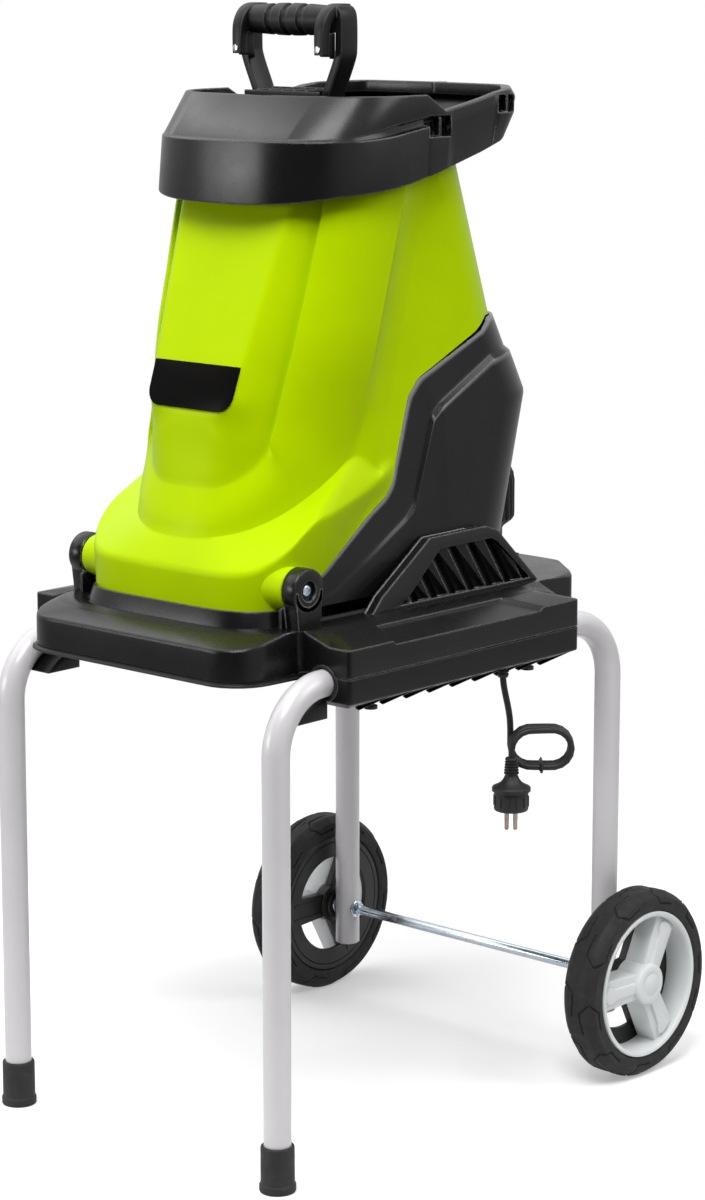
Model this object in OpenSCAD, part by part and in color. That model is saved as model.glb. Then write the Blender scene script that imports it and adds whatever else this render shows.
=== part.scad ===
// Garden shredder on a tubular stand: tilting hopper, belt-driven blade disc, two transport wheels.
// Millimetres, +Z up, -Y is the front, origin on the floor under the middle of the machine.

/* [Stand] */
// Outer diameter of the leg tube
tube_d = 25; // [20:0.5:30]
// Wall of the leg tube
tube_wall = 1.5; // [1:0.1:3]
// Bend radius of a leg at the tube's centre line
bend_r = 58; // [45:1:70]
// Distance of each leg from the middle plane
leg_x = 170; // [160:1:190]
// Distance of front and rear legs from the middle between them
leg_y = 233; // [225:1:260]
// Height of the tube's centre line inside the base
tube_z = 451; // [380:1:520]
// Length of tube held inside the base
tube_insert = 85; // [60:1:95]
// Outer diameter of a foot cap
foot_d = 33; // [30:0.5:40]
// Height of a foot cap
foot_h = 43; // [30:1:60]
// Thickness of rubber under the tube's end
foot_sole = 6; // [3:0.5:12]

/* [Wheels] */
// Outer diameter of a wheel
wheel_d = 185; // [160:1:220]
// Width of a tyre
tyre_w = 38; // [30:1:46]
// Radial thickness of a tyre
tyre_t = 20; // [14:1:26]
// Diameter of the axle rod
axle_d = 10; // [8:0.5:14]
// Running clearance of a wheel bore on the axle, on the radius
axle_play = 0.08; // [0.03:0.01:0.1]
// Side gap between a leg and its wheel
wheel_gap = 7; // [4:0.5:12]
// Thickness of a wheel's outer cover
cover_t = 5; // [3:0.5:8]
// Length of tube that reaches below the axle's centre
leg_tail = 37; // [25:1:50]

/* [Base] */
// Outer half-width of the rails
rail_x = 201; // [196:1:220]
// Height of the rail's upper edge above the tube's centre line
rail_up = 33; // [28:1:40]
// Height of the parting line above the tube's centre line
seam_up = 7; // [4:0.5:10]
// Depth of the rails below the tube's centre line
rail_down = 16; // [15:0.5:24]
// Height of the flat deck above the rail's upper edge
deck_up = 10; // [6:0.5:14]
// Wall of the base mouldings
base_wall = 3; // [2:0.1:4]
// Front edge of the flange, from the middle between the legs
flange_front = 247; // [240:1:252]
// Half-width of the front flange
flange_x = 138; // [130:1:142]
// Rear edge of the base, from the middle between the legs
base_rear = 254; // [245:1:262]
// Half-width of the rear of the base
rear_x = 150; // [140:1:154]
// Height of the collar around the hopper's foot
collar_h = 14; // [8:0.5:16]
// Thickness of the chamber plate
plate_t = 4; // [3:0.5:6]

/* [Hinge] */
// Distance of the hinge axis in front of the middle between the legs
hinge_back = 162; // [155:1:168]
// Height of the hinge axis above the deck
hinge_up = 34; // [32:1:40]
// Radius of a hinge bracket's round head
ear_r = 20; // [17:0.5:22]
// Inner face of a hinge bracket from the middle plane
ear_x = 128; // [127:0.5:132]
// Thickness of a hinge bracket
ear_t = 16; // [12:0.5:20]
// Diameter of a hinge screw's shank
hinge_d = 8; // [6:0.5:10]
// Running clearance of the hinge, on the radius
hinge_play = 0.06; // [0.02:0.01:0.1]

/* [Hopper] */
// Wall of the hopper shells
shell_wall = 3; // [2:0.1:4]
// Half-width of the front shell at its side crease
shield_x = 117; // [112:0.5:119]
// Half-width of the skirt around the hopper's foot
skirt_x = 119; // [116:0.5:121]
// Height of the skirt
skirt_h = 29; // [24:1:34]
// Distance of the skirt's front from the hinge axis
skirt_front = 38; // [32:0.5:42]
// Height of the front shell
shell_h = 400; // [380:1:430]
// Backward lean of the front, per unit of height
front_lean = 0.31; // [0.28:0.005:0.34]
// Depth that the rear shell stands proud of its border
rear_proud = 4; // [2:0.5:5]
// Gap between the two hopper shells along their seam
shell_gap = 0.8; // [0.5:0.1:2]
// Half-width of the funnel cover
funnel_x = 128; // [122:0.5:134]
// Height of the hood's rim above the front shell's top
hood_h = 48; // [40:1:56]
// Half-width of the feed chute at its throat
throat_x = 75; // [60:1:80]
// Half-width of the badge plate
badge_x = 54; // [40:1:58]
// Height of the badge plate
badge_h = 42; // [24:1:46]

/* [Pusher] */
// Half-width of the pusher's handle
handle_x = 62; // [55:1:68]
// Height of the handle above the hood's rim
handle_h = 76; // [66:1:90]
// Diameter of the grip
grip_d = 27; // [22:0.5:32]
// Depth of the pusher's posts
post_depth = 36; // [24:1:40]
// Half-width of the paddle inside the chute
paddle_x = 42; // [34:1:46]
// Length of the paddle below the hood's rim
paddle_l = 220; // [120:5:240]

/* [Drive] */
// Diameter of the blade disc
disc_d = 130; // [110:1:132]
// Thickness of the blade disc
disc_t = 6; // [4:0.5:8]
// Distance of the blade shaft in front of the middle between the legs
blade_back = 80; // [78:1:84]
// Diameter of the blade shaft
shaft_d = 17; // [12:0.5:20]
// Diameter of the motor case
motor_d = 100; // [80:1:104]
// Height of the motor case
motor_h = 158; // [120:1:160]
// Distance of the motor shaft behind the middle between the legs
motor_fwd = 62; // [56:1:66]
// Radius of the motor pulley
small_pulley_r = 14; // [12:0.5:18]
// Radius of the blade pulley
large_pulley_r = 45; // [38:0.5:50]
// Height of the belt
belt_h = 12; // [9:0.5:14]
// Thickness of the belt
belt_t = 3; // [2:0.1:4]
// Running gap between turning and fixed pieces
run_gap = 0.4; // [0.3:0.05:0.6]

/* [Lock] */
// Radius of the lock knob
knob_r = 42; // [34:0.5:44]
// Height of the lock knob
knob_h = 70; // [50:1:76]
// Distance of the lock axis behind the middle between the legs
lock_fwd = 230; // [224:1:232]
// Diameter of the lock screw
lock_d = 12; // [8:0.5:12]

/* [Mains lead] */
// Diameter of the cord
cord_d = 6; // [5:0.25:7]
// Radius of a fold of the tied hank, at the cord's centre
fold_r = 18; // [18:0.5:20]
// Straight run of the hank between its folds
hank_run = 20; // [16:1:26]
// Loops in the tied hank
hank_loops = 3; // [2:1:4]
// Step from one loop to the next
hank_step = 7; // [7:0.1:8]

/* [Hidden] */
$fn = 64;

// Stand and wheels
tube_r = tube_d / 2;
wheel_r = wheel_d / 2;
foot_r = foot_d / 2;
axle_r = axle_d / 2;
fit = 0.3;
mid_y = -(wheel_r - foot_r) / 2;
wheel_in = leg_x + tube_r + wheel_gap;
wheel_out = wheel_in + tyre_w;
core_r = wheel_r - tyre_t;
hub_r = axle_r + 10;

// Heights of the base
deck_edge = tube_z + rail_up;
deck_z = deck_edge + deck_up;
seam_z = tube_z + seam_up;
rail_z = tube_z - rail_down;
flange_z = tube_z;
bevel_z = rail_z - 14;
bevel_in = 26;
ledge_in = 56;
plate_top = deck_z - 20;
plate_z = plate_top - plate_t;
rail_front = leg_y - bend_r - 3;
rail_rear = leg_y - bend_r - 27;

// Hopper heights are measured from its lower edge
hinge_y = -hinge_back;
hinge_z = deck_z + hinge_up;
foot_z = hinge_z - 23;
shell_top = foot_z + shell_h;
rim_z = shell_top + hood_h;
skirt_y = hinge_y - skirt_front;
shield_foot = skirt_y - 10;
lock_reach = 28;
rear_low = lock_fwd - knob_r - lock_reach;
rear_bulge = 40;
bulge_h = 165;
seam_top = 241;

// Well in the deck, around the hopper's foot
well_x = skirt_x + 3;
well_front = -skirt_y + 4;
well_rear = rear_low - 10;
collar_lip = 1.5;
collar_foot = 5.5;
well_power = 5;
// Flat deck: half-width, and step from the flange's front edge
deck_x = 153;
deck_step = 34;

// Drive
blade_y = -blade_back;
motor_y = motor_fwd;
disc_r = disc_d / 2;
disc_z = plate_top + 6;
blade_t = 3;
belt_z = plate_z - 10 - belt_h;
chute_z = disc_z + disc_t + blade_t + 5;
shaft_r = shaft_d / 2;
motor_shaft_r = 6;
bearing_r = shaft_r + 9;

// Lock
lock_r = lock_d / 2;
lock_play = 3;
bracket_t = 5;
bracket_z = foot_z - fit - bracket_t;

function lerp(a, b, t) = a + (b - a) * t;
function flip(list) = [for (i = [len(list) - 1:-1:0]) list[i]];

// One closed solid through loops of equal length; a ring of loops when closed is true
module sweep(loops, closed = false) {
    n = len(loops);
    m = len(loops[0]);
    points = [for (l = loops) each l];
    last = closed ? n - 1 : n - 2;
    sides = [for (j = [0:last], k = [0:m - 1])
        let (a = j * m + k, b = j * m + (k + 1) % m, c = ((j + 1) % n) * m + (k + 1) % m, d = ((j + 1) % n) * m + k)
        each [[a, b, c], [a, c, d]]];
    half = floor(m / 2);
    cap = [for (k = [0:half - 2]) each [[k, k + 1, m - 2 - k], [k, m - 2 - k, m - 1 - k]]];
    good = [for (f = cap) if (f[0] != f[1] && f[1] != f[2] && f[0] != f[2]) f];
    ends = closed ? [] : concat([for (f = good) flip(f)], [for (f = good) [for (k = f) k + (n - 1) * m]]);
    polyhedron(points, concat(sides, ends));
}

// Shell through columns of outer points, each paired with an inner point
module shell(outer, inner, closed = true) {
    sweep([for (j = [0:len(outer) - 1]) concat(outer[j], flip(inner[j]))], closed);
}

module from_middle() {
    translate([0, mid_y, 0]) children();
}

module both_sides() {
    children();
    mirror([1, 0, 0]) children();
}

module along_x(x, y, z, r, h) {
    translate([x, y, z]) rotate([0, 90, 0]) cylinder(r = r, h = h);
}

module along_y(x, y, z, r, h) {
    translate([x, y, z]) rotate([-90, 0, 0]) cylinder(r = r, h = h);
}

// Outline of the base seen from above, as points with a corner radius each, right half from front to rear
base_corners = [[flange_x, -flange_front, 36], [flange_x + 4, -rail_front, 5], [rail_x, -rail_front, 4],
    [rail_x, rail_rear, 4], [rear_x, rail_rear, 4], [rear_x, base_rear - 52, 12], [rear_x - 62, base_rear, 22]];
corner_steps = 4;

function unit(v) = v / norm(v);
function rounded(a, p, b) =
    let (u = unit([a[0] - p[0], a[1] - p[1]]), v = unit([b[0] - p[0], b[1] - p[1]]),
        half_angle = acos(u * v) / 2, t = p[2] / tan(half_angle),
        s = [p[0], p[1]] + u * t, e = [p[0], p[1]] + v * t,
        c = [p[0], p[1]] + unit(u + v) * p[2] / sin(half_angle))
    [for (k = [0:corner_steps]) let (q = lerp(s, e, k / corner_steps) - c) c + unit(q) * p[2]];

// Right half of the outline, moved inwards by a distance
function left_of(v) = [-v[1], v[0]];
function inset_corner(a, p, b, d) =
    let (u = unit([p[0] - a[0], p[1] - a[1]]), v = unit([b[0] - p[0], b[1] - p[1]]), m = left_of(u), n = left_of(v),
        turn = u[0] * v[1] - u[1] * v[0], q = [p[0], p[1]] + d * (m + n) / (1 + m * n))
    [q[0], q[1], turn > 0 ? max(1, p[2] - d) : p[2]];
function base_half(d) =
    let (n = len(base_corners), first = [0, -flange_front, 0], last = [0, base_rear, 0],
        path = concat([first], base_corners, [last]), top = [0, d - flange_front, 0], end = [0, base_rear - d, 0],
        moved = concat([top], [for (i = [1:n]) inset_corner(path[i - 1], path[i], path[i + 1], d)], [end]))
    concat([[0, top[1]]], [for (i = [1:n]) each rounded(moved[i - 1], moved[i], moved[i + 1])], [[0, end[1]]]);
base_points = base_half(0);
base_inner = base_half(base_wall);

// Point of a rounded oval in the direction of a given point, seen from the middle of the well
well_y = (well_rear - well_front) / 2;
function oval(p, a, front, rear, n) =
    let (dx = p[0], dy = p[1] - well_y, b = dy < 0 ? front + well_y : rear - well_y,
        k = pow(pow(abs(dx) / a, n) + pow(abs(dy) / b, n), -1 / n))
    [dx * k, well_y + dy * k];

function low_edge(p) = p[1] < -rail_front - 2 ? flange_z + 4 : seam_z;

module upper_housing() {
    w = base_wall;
    columns = [for (k = [0:len(base_points) - 1])
        let (p = base_points[k], q = base_inner[k], s = oval(p, deck_x, flange_front - deck_step, base_rear - 4, 6),
            c = oval(p, well_x + 4, well_front + collar_foot, well_rear + 7, well_power),
            top = oval(p, well_x + 2, well_front + collar_lip, well_rear + 3, well_power),
            i = oval(p, well_x, well_front, well_rear, well_power),
            h = c[1] < hinge_y - 8 ? collar_h : 2)
        [[p[0], p[1], low_edge(p)], [p[0], p[1], deck_edge], [s[0], s[1], deck_z], [c[0], c[1], deck_z],
            [top[0], top[1], deck_z + h], [i[0], i[1], deck_z + h], [i[0], i[1], deck_z - w],
            [s[0], s[1], deck_z - w], [q[0], q[1], deck_edge - w], [q[0], q[1], low_edge(p)]]];
    color("#2b2b2d") from_middle() difference() {
        sweep(full_ring(columns), true);
        both_sides() tube_cuts();
        translate([0, lock_fwd, deck_z - 2 * w]) cylinder(r = lock_r + lock_play, h = 4 * w);
        translate([safety_at[0], safety_at[1], deck_z - 2 * w]) cylinder(r = plunger_r + fit, h = 4 * w);
    }
}

// Full ring of columns from the columns of the right half
function full_ring(columns) = concat(columns, [for (i = [len(columns) - 2:-1:1])
    [for (q = columns[i]) [-q[0], q[1], q[2]]]]);

module tube_cuts() {
    along_y(leg_x, -leg_y, tube_z, tube_r + fit, leg_y - rail_front + 30);
    along_y(leg_x, rail_rear - 30, tube_z, tube_r + fit, leg_y - rail_rear + 30);
}

module lower_housing() {
    w = base_wall;
    bevel = base_half(bevel_in);
    bevel_inner = base_half(bevel_in + w);
    ledge = base_half(ledge_in);
    columns = [for (k = [0:len(base_points) - 1])
        let (p = base_points[k], a = bevel[k], b = ledge[k], d = base_inner[k], e = bevel_inner[k], z = low_edge(p),
            bottom = p[1] < -rail_front - 2 ? flange_z : rail_z,
            drop = abs(p[1]) < rail_front + 2 ? rail_z - bevel_z : 2)
        [[p[0], p[1], bottom], [p[0], p[1], z], [d[0], d[1], z], [d[0], d[1], bottom + w],
            [e[0], e[1], bottom - drop + w], [b[0], b[1], bottom - drop + w], [b[0], b[1], bottom - drop],
            [a[0], a[1], bottom - drop]]];
    color("#262628") from_middle() difference() {
        union() {
            sweep(full_ring(columns), true);
            both_sides() gusset();
        }
        both_sides() {
            tube_cuts();
            for (s = [-1, 1]) translate([leg_x, s * leg_screw_y, bevel_z - 1]) {
                cylinder(r = leg_screw_r + fit, h = w + 2);
            }
        }
        translate([gland_x, gland_y, bevel_z - 5]) cylinder(r = gland_r + fit, h = 20);
    }
}

// Web under the front bend of a leg, inside its curve
module gusset() {
    r = bend_r - tube_r - fit;
    w = ledge_in - bevel_in;
    translate([rail_x - ledge_in, bend_r - leg_y, tube_z - bend_r]) rotate([90, 0, 90]) linear_extrude(w) {
        intersection() {
            circle(r = r);
            translate([-r, bevel_z - tube_z + bend_r - 1]) square([2 * r, r]);
        }
    }
}

// Cord route, tied hank and plug
gland_x = 180;
gland_y = 62;
gland_r = 7;
gland_h = 24;
cord_r = cord_d / 2;
// Points of the free stretch, from the gland down to the hank, relative to the gland's mouth
cord_route = [[0, 0, 20], [0, 0, 8], [0, 0, -4], [1, 2, -16], [2, 5, -28], [3, 7, -40], [3, 8, -50], [3, 8, -60]];
cord_end = cord_route[len(cord_route) - 1];
hank_start = [gland_x, gland_y, bevel_z] + cord_end;
// The hank's loops lie upright, stepping along this level direction, and open along the other
step_dir = [0.672, -0.741, 0];
open_dir = [0.741, 0.672, 0];
exit_step = 6;
lead_in = cord_d;
fold_len = PI * fold_r;
loop_len = 2 * fold_len + 2 * hank_run;
rings_per_loop = 24;

// Place on one loop, by the length travelled from its first upright point: across, up, then heading
function loop_at(s) =
    s < fold_len / 2 ? let (a = 180 + s / fold_r * 180 / PI) fold_point(0, a)
    : s < fold_len / 2 + hank_run ? [fold_r + s - fold_len / 2, -fold_r, 0]
    : s < fold_len * 1.5 + hank_run ? let (a = 270 + (s - fold_len / 2 - hank_run) / fold_r * 180 / PI) fold_point(hank_run, a)
    : s < fold_len * 1.5 + 2 * hank_run ? [fold_r + hank_run - (s - fold_len * 1.5 - hank_run), fold_r, 180]
    : let (a = 90 + (s - fold_len * 1.5 - 2 * hank_run) / fold_r * 180 / PI) fold_point(0, a);
function fold_point(run, a) = [fold_r + run + fold_r * cos(a), fold_r * sin(a), a + 90];
function hank_side(t) = hank_step * t + exit_step * pow(max(0, (t - hank_loops + 0.5) * 2), 2);
function hank_ring(t) =
    let (s = (t - floor(t)) * loop_len, q = loop_at(s), c = hank_start - [0, 0, lead_in]
        + open_dir * q[0] + step_dir * hank_side(t) + [0, 0, q[1]],
        n1 = open_dir * -sin(q[2]) + [0, 0, cos(q[2])])
    tube_ring(c, n1, step_dir, 6);
function tube_ring(c, n1, n2, sides) = [for (k = [0:sides - 1])
    c + cord_r * (n1 * cos(360 * k / sides) + n2 * sin(360 * k / sides))];
hank_last = hank_start - [0, 0, lead_in] + step_dir * hank_side(hank_loops);
plug_top = hank_last - [0, 0, lead_in];
hank_rings = concat([tube_ring(hank_start, open_dir, step_dir, 6)],
    [for (i = [0:hank_loops * rings_per_loop - 1]) hank_ring(i / rings_per_loop)],
    [tube_ring(hank_last, open_dir, step_dir, 6), tube_ring(plug_top, open_dir, step_dir, 6)]);
function hank_middle(i) = let (t = i / rings_per_loop, q = loop_at((t - floor(t)) * loop_len))
    open_dir * q[0] + step_dir * hank_side(t) + [0, 0, q[1]];
hank_gap = min([for (i = [0:2:hank_loops * rings_per_loop - 1], j = [i + 16:2:hank_loops * rings_per_loop - 1])
    norm(hank_middle(i) - hank_middle(j))]) - cord_d;
echo(hank_gap = hank_gap);

module cord_gland() {
    color("#202020") from_middle() translate([gland_x, gland_y, bevel_z]) difference() {
        rotate_extrude() polygon([[0, 0], [gland_r - 2, 0], [gland_r, 4], [gland_r, gland_h], [0, gland_h]]);
        translate([0, 0, -1]) cylinder(r = cord_r + fit, h = gland_h - 3);
    }
}

module cord() {
    sides = 8;
    base = [gland_x, gland_y, bevel_z];
    color("#1e1e1e") from_middle() sweep([for (p = cord_route)
        [for (k = [0:sides - 1]) base + p + cord_r * [cos(360 * k / sides), -sin(360 * k / sides), 0]]]);
}

module cord_hank() {
    color("#1e1e1e") from_middle() sweep(hank_rings);
}

module cord_tie() {
    tie_in = (hank_loops - 1) * hank_step + cord_d + 2 * fit;
    tie_out = tie_in + 3;
    low_run = (fold_len + hank_run) / 2 / loop_len;
    mid = hank_step * (low_run + (hank_loops - 1) / 2);
    c = hank_start - [0, 0, lead_in] + open_dir * (fold_r + hank_run / 2) + step_dir * mid - [0, 0, fold_r];
    color("#101010") from_middle() translate(c) rotate([0, 0, -47.8]) difference() {
        cube([tie_out, 4, cord_d + 2 * fit + 3], center = true);
        cube([tie_in, 6, cord_d + 2 * fit], center = true);
    }
}

plug_r = 18;
plug_h = 50;
pin_l = 19;
module plug_body() {
    color("#1c1c1c") from_middle() translate(plug_top) difference() {
        rotate_extrude() polygon([[0, 0], [5, 0], [6, -4], [5.5, -6], [6.5, -9], [6, -11], [7, -14], [6.5, -16],
            [8, -20], [12, -25], [plug_r, -28], [plug_r, -32], [plug_r - 2, -33], [plug_r - 2, -plug_h], [0, -plug_h]]);
        for (s = [-1, 1]) translate(pin_place(s) + [0, 0, -plug_h - 1]) cylinder(r = 2 + 0.05, h = 9);
    }
}

function pin_place(s) = open_dir * s * 4;

module plug_pins() {
    color("#b08d57") from_middle() for (s = [-1, 1]) translate(plug_top + pin_place(s) + [0, 0, -plug_h - pin_l]) {
        cylinder(r = 2, h = pin_l + 8);
    }
}

// Chamber plate, drive and controls
plate_half = base_half(base_wall + fit);
plate_outline = concat(plate_half, [for (i = [len(plate_half) - 2:-1:1]) [-plate_half[i][0], plate_half[i][1]]]);
plate_screws = [[leg_x, -100], [leg_x, 0], [leg_x, 100]];
screw_r = 2.2;
screw_head_r = 5;
screw_head_h = 3;
screw_play = 0.3;
// Slot in the chamber plate, in front of the belt cover, where the chips fall out
chip_x = 56;
chip_front = hinge_y - 16;
chip_rear = blade_y - large_pulley_r - belt_t - 10;

module chamber_plate() {
    color("#3a3a3c") from_middle() difference() {
        union() {
            translate([0, 0, plate_z]) linear_extrude(plate_t) polygon(plate_outline);
            translate([0, blade_y, plate_z - 8]) cylinder(r = bearing_r + 4, h = plate_t + 13);
        }
        translate([0, blade_y, plate_z - 9]) cylinder(r = bearing_r, h = plate_t + 15);
        translate([-chip_x, chip_front, plate_z - 1]) cube([2 * chip_x, chip_rear - chip_front, plate_t + 2]);
        translate([0, motor_y, plate_z - 1]) cylinder(r = motor_shaft_r + 3, h = plate_t + 2);
        both_sides() for (p = plate_screws) translate([p[0], p[1], plate_z - 1]) {
            cylinder(r = screw_r + screw_play, h = plate_t + 2);
        }
    }
}

module pan_screw(l) {
    cylinder(r = screw_head_r, h = screw_head_h);
    translate([0, 0, -l]) cylinder(r = screw_r, h = l + 0.5);
}

module housing_screws() {
    color("silver") from_middle() both_sides() for (p = plate_screws) translate([p[0], p[1], plate_top]) pan_screw(plate_t + 4);
}

module shaft_bearings() {
    color("silver") from_middle() for (z = [plate_z - 8, plate_z + 0.5]) translate([0, blade_y, z]) difference() {
        cylinder(r = bearing_r - 0.1, h = 8);
        translate([0, 0, -1]) cylinder(r = shaft_r + 0.06, h = 10);
    }
}

neck_r = 6;
module blade_shaft() {
    color("silver") from_middle() translate([0, blade_y, 0]) {
        translate([0, 0, belt_z - 2]) cylinder(r = shaft_r, h = disc_z - belt_z + 2);
        translate([0, 0, disc_z - 0.5]) cylinder(r = neck_r, h = disc_t + 12);
    }
}

blade_l = 44;
blade_w = 24;
blade_mid = disc_r - blade_l / 2 - 6;
module blade_disc() {
    color("#8d9094") from_middle() translate([0, blade_y, disc_z]) difference() {
        cylinder(r = disc_r, h = disc_t);
        translate([0, 0, -1]) cylinder(r = neck_r + 0.1, h = disc_t + 2);
        for (a = [0, 180]) rotate(a) {
            translate([blade_mid - blade_l / 2, blade_w / 2 + 2, -1]) cube([blade_l, 8, disc_t + 2]);
            for (s = [-1, 1]) translate([blade_mid + s * blade_l / 4, 0, -1]) {
                cylinder(r = screw_r + screw_play, h = disc_t + 2);
            }
        }
    }
}

module blades() {
    color("#c8ccd0") from_middle() translate([0, blade_y, disc_z + disc_t]) for (a = [0, 180]) rotate(a) difference() {
        translate([blade_mid - blade_l / 2, -blade_w / 2, 0]) cube([blade_l, blade_w, blade_t]);
        for (s = [-1, 1]) translate([blade_mid + s * blade_l / 4, 0, -1]) cylinder(r = screw_r + screw_play, h = blade_t + 2);
    }
}

module blade_screws() {
    color("silver") from_middle() translate([0, blade_y, disc_z + disc_t]) {
        for (a = [0, 180], s = [-1, 1]) rotate(a) translate([blade_mid + s * blade_l / 4, 0, blade_t]) pan_screw(blade_t + 4);
        difference() {
            cylinder(r = 11, h = 8, $fn = 6);
            translate([0, 0, -1]) cylinder(r = neck_r + 0.1, h = 10);
        }
    }
}

// Grooved belt pulley with a flange above and below the belt
module pulley(r, bore) {
    g = run_gap;
    rotate_extrude() polygon([[bore, -1.5], [r + 2, -1.5], [r + 2, -g], [r, -g], [r, belt_h + g],
        [r + 2, belt_h + g], [r + 2, belt_h + 1.5], [bore, belt_h + 1.5]]);
}

module blade_pulley() {
    color("#55585c") from_middle() translate([0, blade_y, belt_z]) pulley(large_pulley_r, shaft_r + 0.1);
}

module motor_pulley() {
    color("#55585c") from_middle() translate([0, motor_y, belt_z]) pulley(small_pulley_r, motor_shaft_r + 0.1);
}

module belt_loop(extra) {
    hull() {
        translate([0, blade_y]) circle(r = large_pulley_r + extra, $fn = 48);
        translate([0, motor_y]) circle(r = small_pulley_r + extra, $fn = 48);
    }
}

module drive_belt() {
    color("#181818") from_middle() translate([0, 0, belt_z]) linear_extrude(belt_h) difference() {
        belt_loop(run_gap + belt_t);
        belt_loop(run_gap);
    }
}

module belt_cover() {
    color("#2e2e30") from_middle() difference() {
        translate([0, 0, belt_z - 7]) linear_extrude(plate_z - belt_z + 7) belt_loop(belt_t + 8);
        translate([0, 0, belt_z - 5]) linear_extrude(plate_z - belt_z + 6) belt_loop(belt_t + 5.5);
    }
}

module motor_case() {
    r = motor_d / 2;
    h = motor_h;
    color("#46484b") from_middle() translate([0, motor_y, plate_top]) rotate_extrude() polygon([
        [motor_shaft_r + 0.1, 0], [r, 0], [r, h - 12], [r - 12, h], [motor_shaft_r + 0.1, h], [motor_shaft_r + 0.1, h - 10],
        [r - 16, h - 10], [r - 3, h - 20], [r - 3, h - 50], [r - 18, h - 50], [r - 18, 40], [r - 3, 40], [r - 3, 8],
        [motor_shaft_r + 0.1, 8]]);
}

module motor_armature() {
    core = motor_d / 2 - 20;
    color("#9a6a3a") from_middle() translate([0, motor_y, 0]) {
        translate([0, 0, belt_z - 3]) cylinder(r = motor_shaft_r, h = plate_top - belt_z + motor_h - 1);
        translate([0, 0, plate_top + 42]) cylinder(r = core, h = motor_h - 96);
        translate([0, 0, plate_top + motor_h - 44]) cylinder(r = core / 2, h = 22);
        translate([0, 0, plate_top + 14]) cylinder(r = core + 6, h = 16);
    }
}

switch_x = -48;
switch_w = 46;
switch_depth = 16;
switch_h = 19;
switch_z = tube_z + 11;
rocker_r = 7;
rocker_x = switch_x - 9;
reset_x = switch_x + 14;
reset_r = 4;
module switch_box() {
    mid = switch_z + switch_h / 2;
    color("#1d1d1f") from_middle() difference() {
        translate([switch_x - switch_w / 2, base_rear, switch_z]) cube([switch_w, switch_depth, switch_h]);
        along_x(rocker_x - 8 - fit, base_rear + switch_depth - 3, mid, rocker_r + fit, 16 + 2 * fit);
        along_y(reset_x, base_rear + 4, mid, reset_r + fit, switch_depth);
    }
}

module power_rocker() {
    mid = switch_z + switch_h / 2;
    color("#b3261e") from_middle() difference() {
        along_x(rocker_x - 8, base_rear + switch_depth - 3, mid, rocker_r, 16);
        translate([rocker_x, base_rear + switch_depth + 6, mid]) rotate([0, 90, 0]) {
            cylinder(r = rocker_r - 2, h = 20, center = true);
        }
    }
}

reset_travel = 2.5;
module reset_button() {
    mid = switch_z + switch_h / 2;
    color("#d8d8d8") from_middle() along_y(reset_x, base_rear + 4 + reset_travel + fit, mid, reset_r, switch_depth - 4);
}

safety_at = [70, lock_fwd - 32];
plunger_r = 3;
plunger_travel = 3;
module safety_switch() {
    h = deck_z - base_wall - 3 - plate_top;
    color("#101012") from_middle() translate([safety_at[0], safety_at[1], plate_top]) difference() {
        translate([-14, -9, 0]) cube([28, 18, h]);
        translate([0, 0, 2]) cylinder(r = plunger_r + fit, h = h);
    }
}

module safety_plunger() {
    top = bracket_z - fit;
    low = plate_top + 2 + plunger_travel + fit;
    color("#c03020") from_middle() translate([safety_at[0], safety_at[1], low]) cylinder(r = plunger_r, h = top - low);
}

// Stand: legs, feet, axle and wheels
module leg(y_sign, low, holes) {
    difference() {
        union() {
            translate([0, 0, low]) cylinder(r = tube_r, h = tube_z - bend_r - low);
            translate([0, -y_sign * bend_r, tube_z - bend_r]) rotate([0, 0, y_sign * 90]) rotate([90, 0, 0]) {
                rotate_extrude(angle = 90) translate([bend_r, 0]) circle(r = tube_r);
            }
            translate([0, -y_sign * bend_r, tube_z]) rotate([y_sign * 90, 0, 0]) cylinder(r = tube_r, h = tube_insert);
        }
        translate([0, 0, low - 1]) cylinder(r = tube_r - tube_wall, h = tube_z - bend_r - low + 1);
        translate([0, -y_sign * bend_r, tube_z - bend_r]) rotate([0, 0, y_sign * 90]) rotate([90, 0, 0]) {
            rotate_extrude(angle = 90) translate([bend_r, 0]) circle(r = tube_r - tube_wall);
        }
        translate([0, -y_sign * bend_r, tube_z]) rotate([y_sign * 90, 0, 0]) {
            cylinder(r = tube_r - tube_wall, h = tube_insert + 1);
        }
        if (holes) along_x(-tube_r - 1, 0, wheel_r, axle_r + 0.1, tube_d + 2);
    }
}

module front_leg() {
    translate([leg_x, -leg_y, 0]) leg(-1, foot_sole, false);
}

module rear_leg() {
    translate([leg_x, leg_y, 0]) leg(1, wheel_r - leg_tail, true);
}

module leg_front_right() {
    color("#cfcfd2") from_middle() front_leg();
}

module leg_front_left() {
    color("#cfcfd2") from_middle() mirror([1, 0, 0]) front_leg();
}

module leg_rear_right() {
    color("#cfcfd2") from_middle() rear_leg();
}

module leg_rear_left() {
    color("#cfcfd2") from_middle() mirror([1, 0, 0]) rear_leg();
}

module foot_caps() {
    color("#232325") from_middle() both_sides() translate([leg_x, -leg_y, 0]) difference() {
        rotate_extrude() polygon([[0, 0], [foot_r - 1, 0], [foot_r, 1], [foot_r, 6], [foot_r - 1, 9],
            [foot_r - 1, foot_h - 2], [foot_r - 2, foot_h], [0, foot_h]]);
        translate([0, 0, foot_sole]) cylinder(r = tube_r + 0.1, h = foot_h);
    }
}

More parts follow.
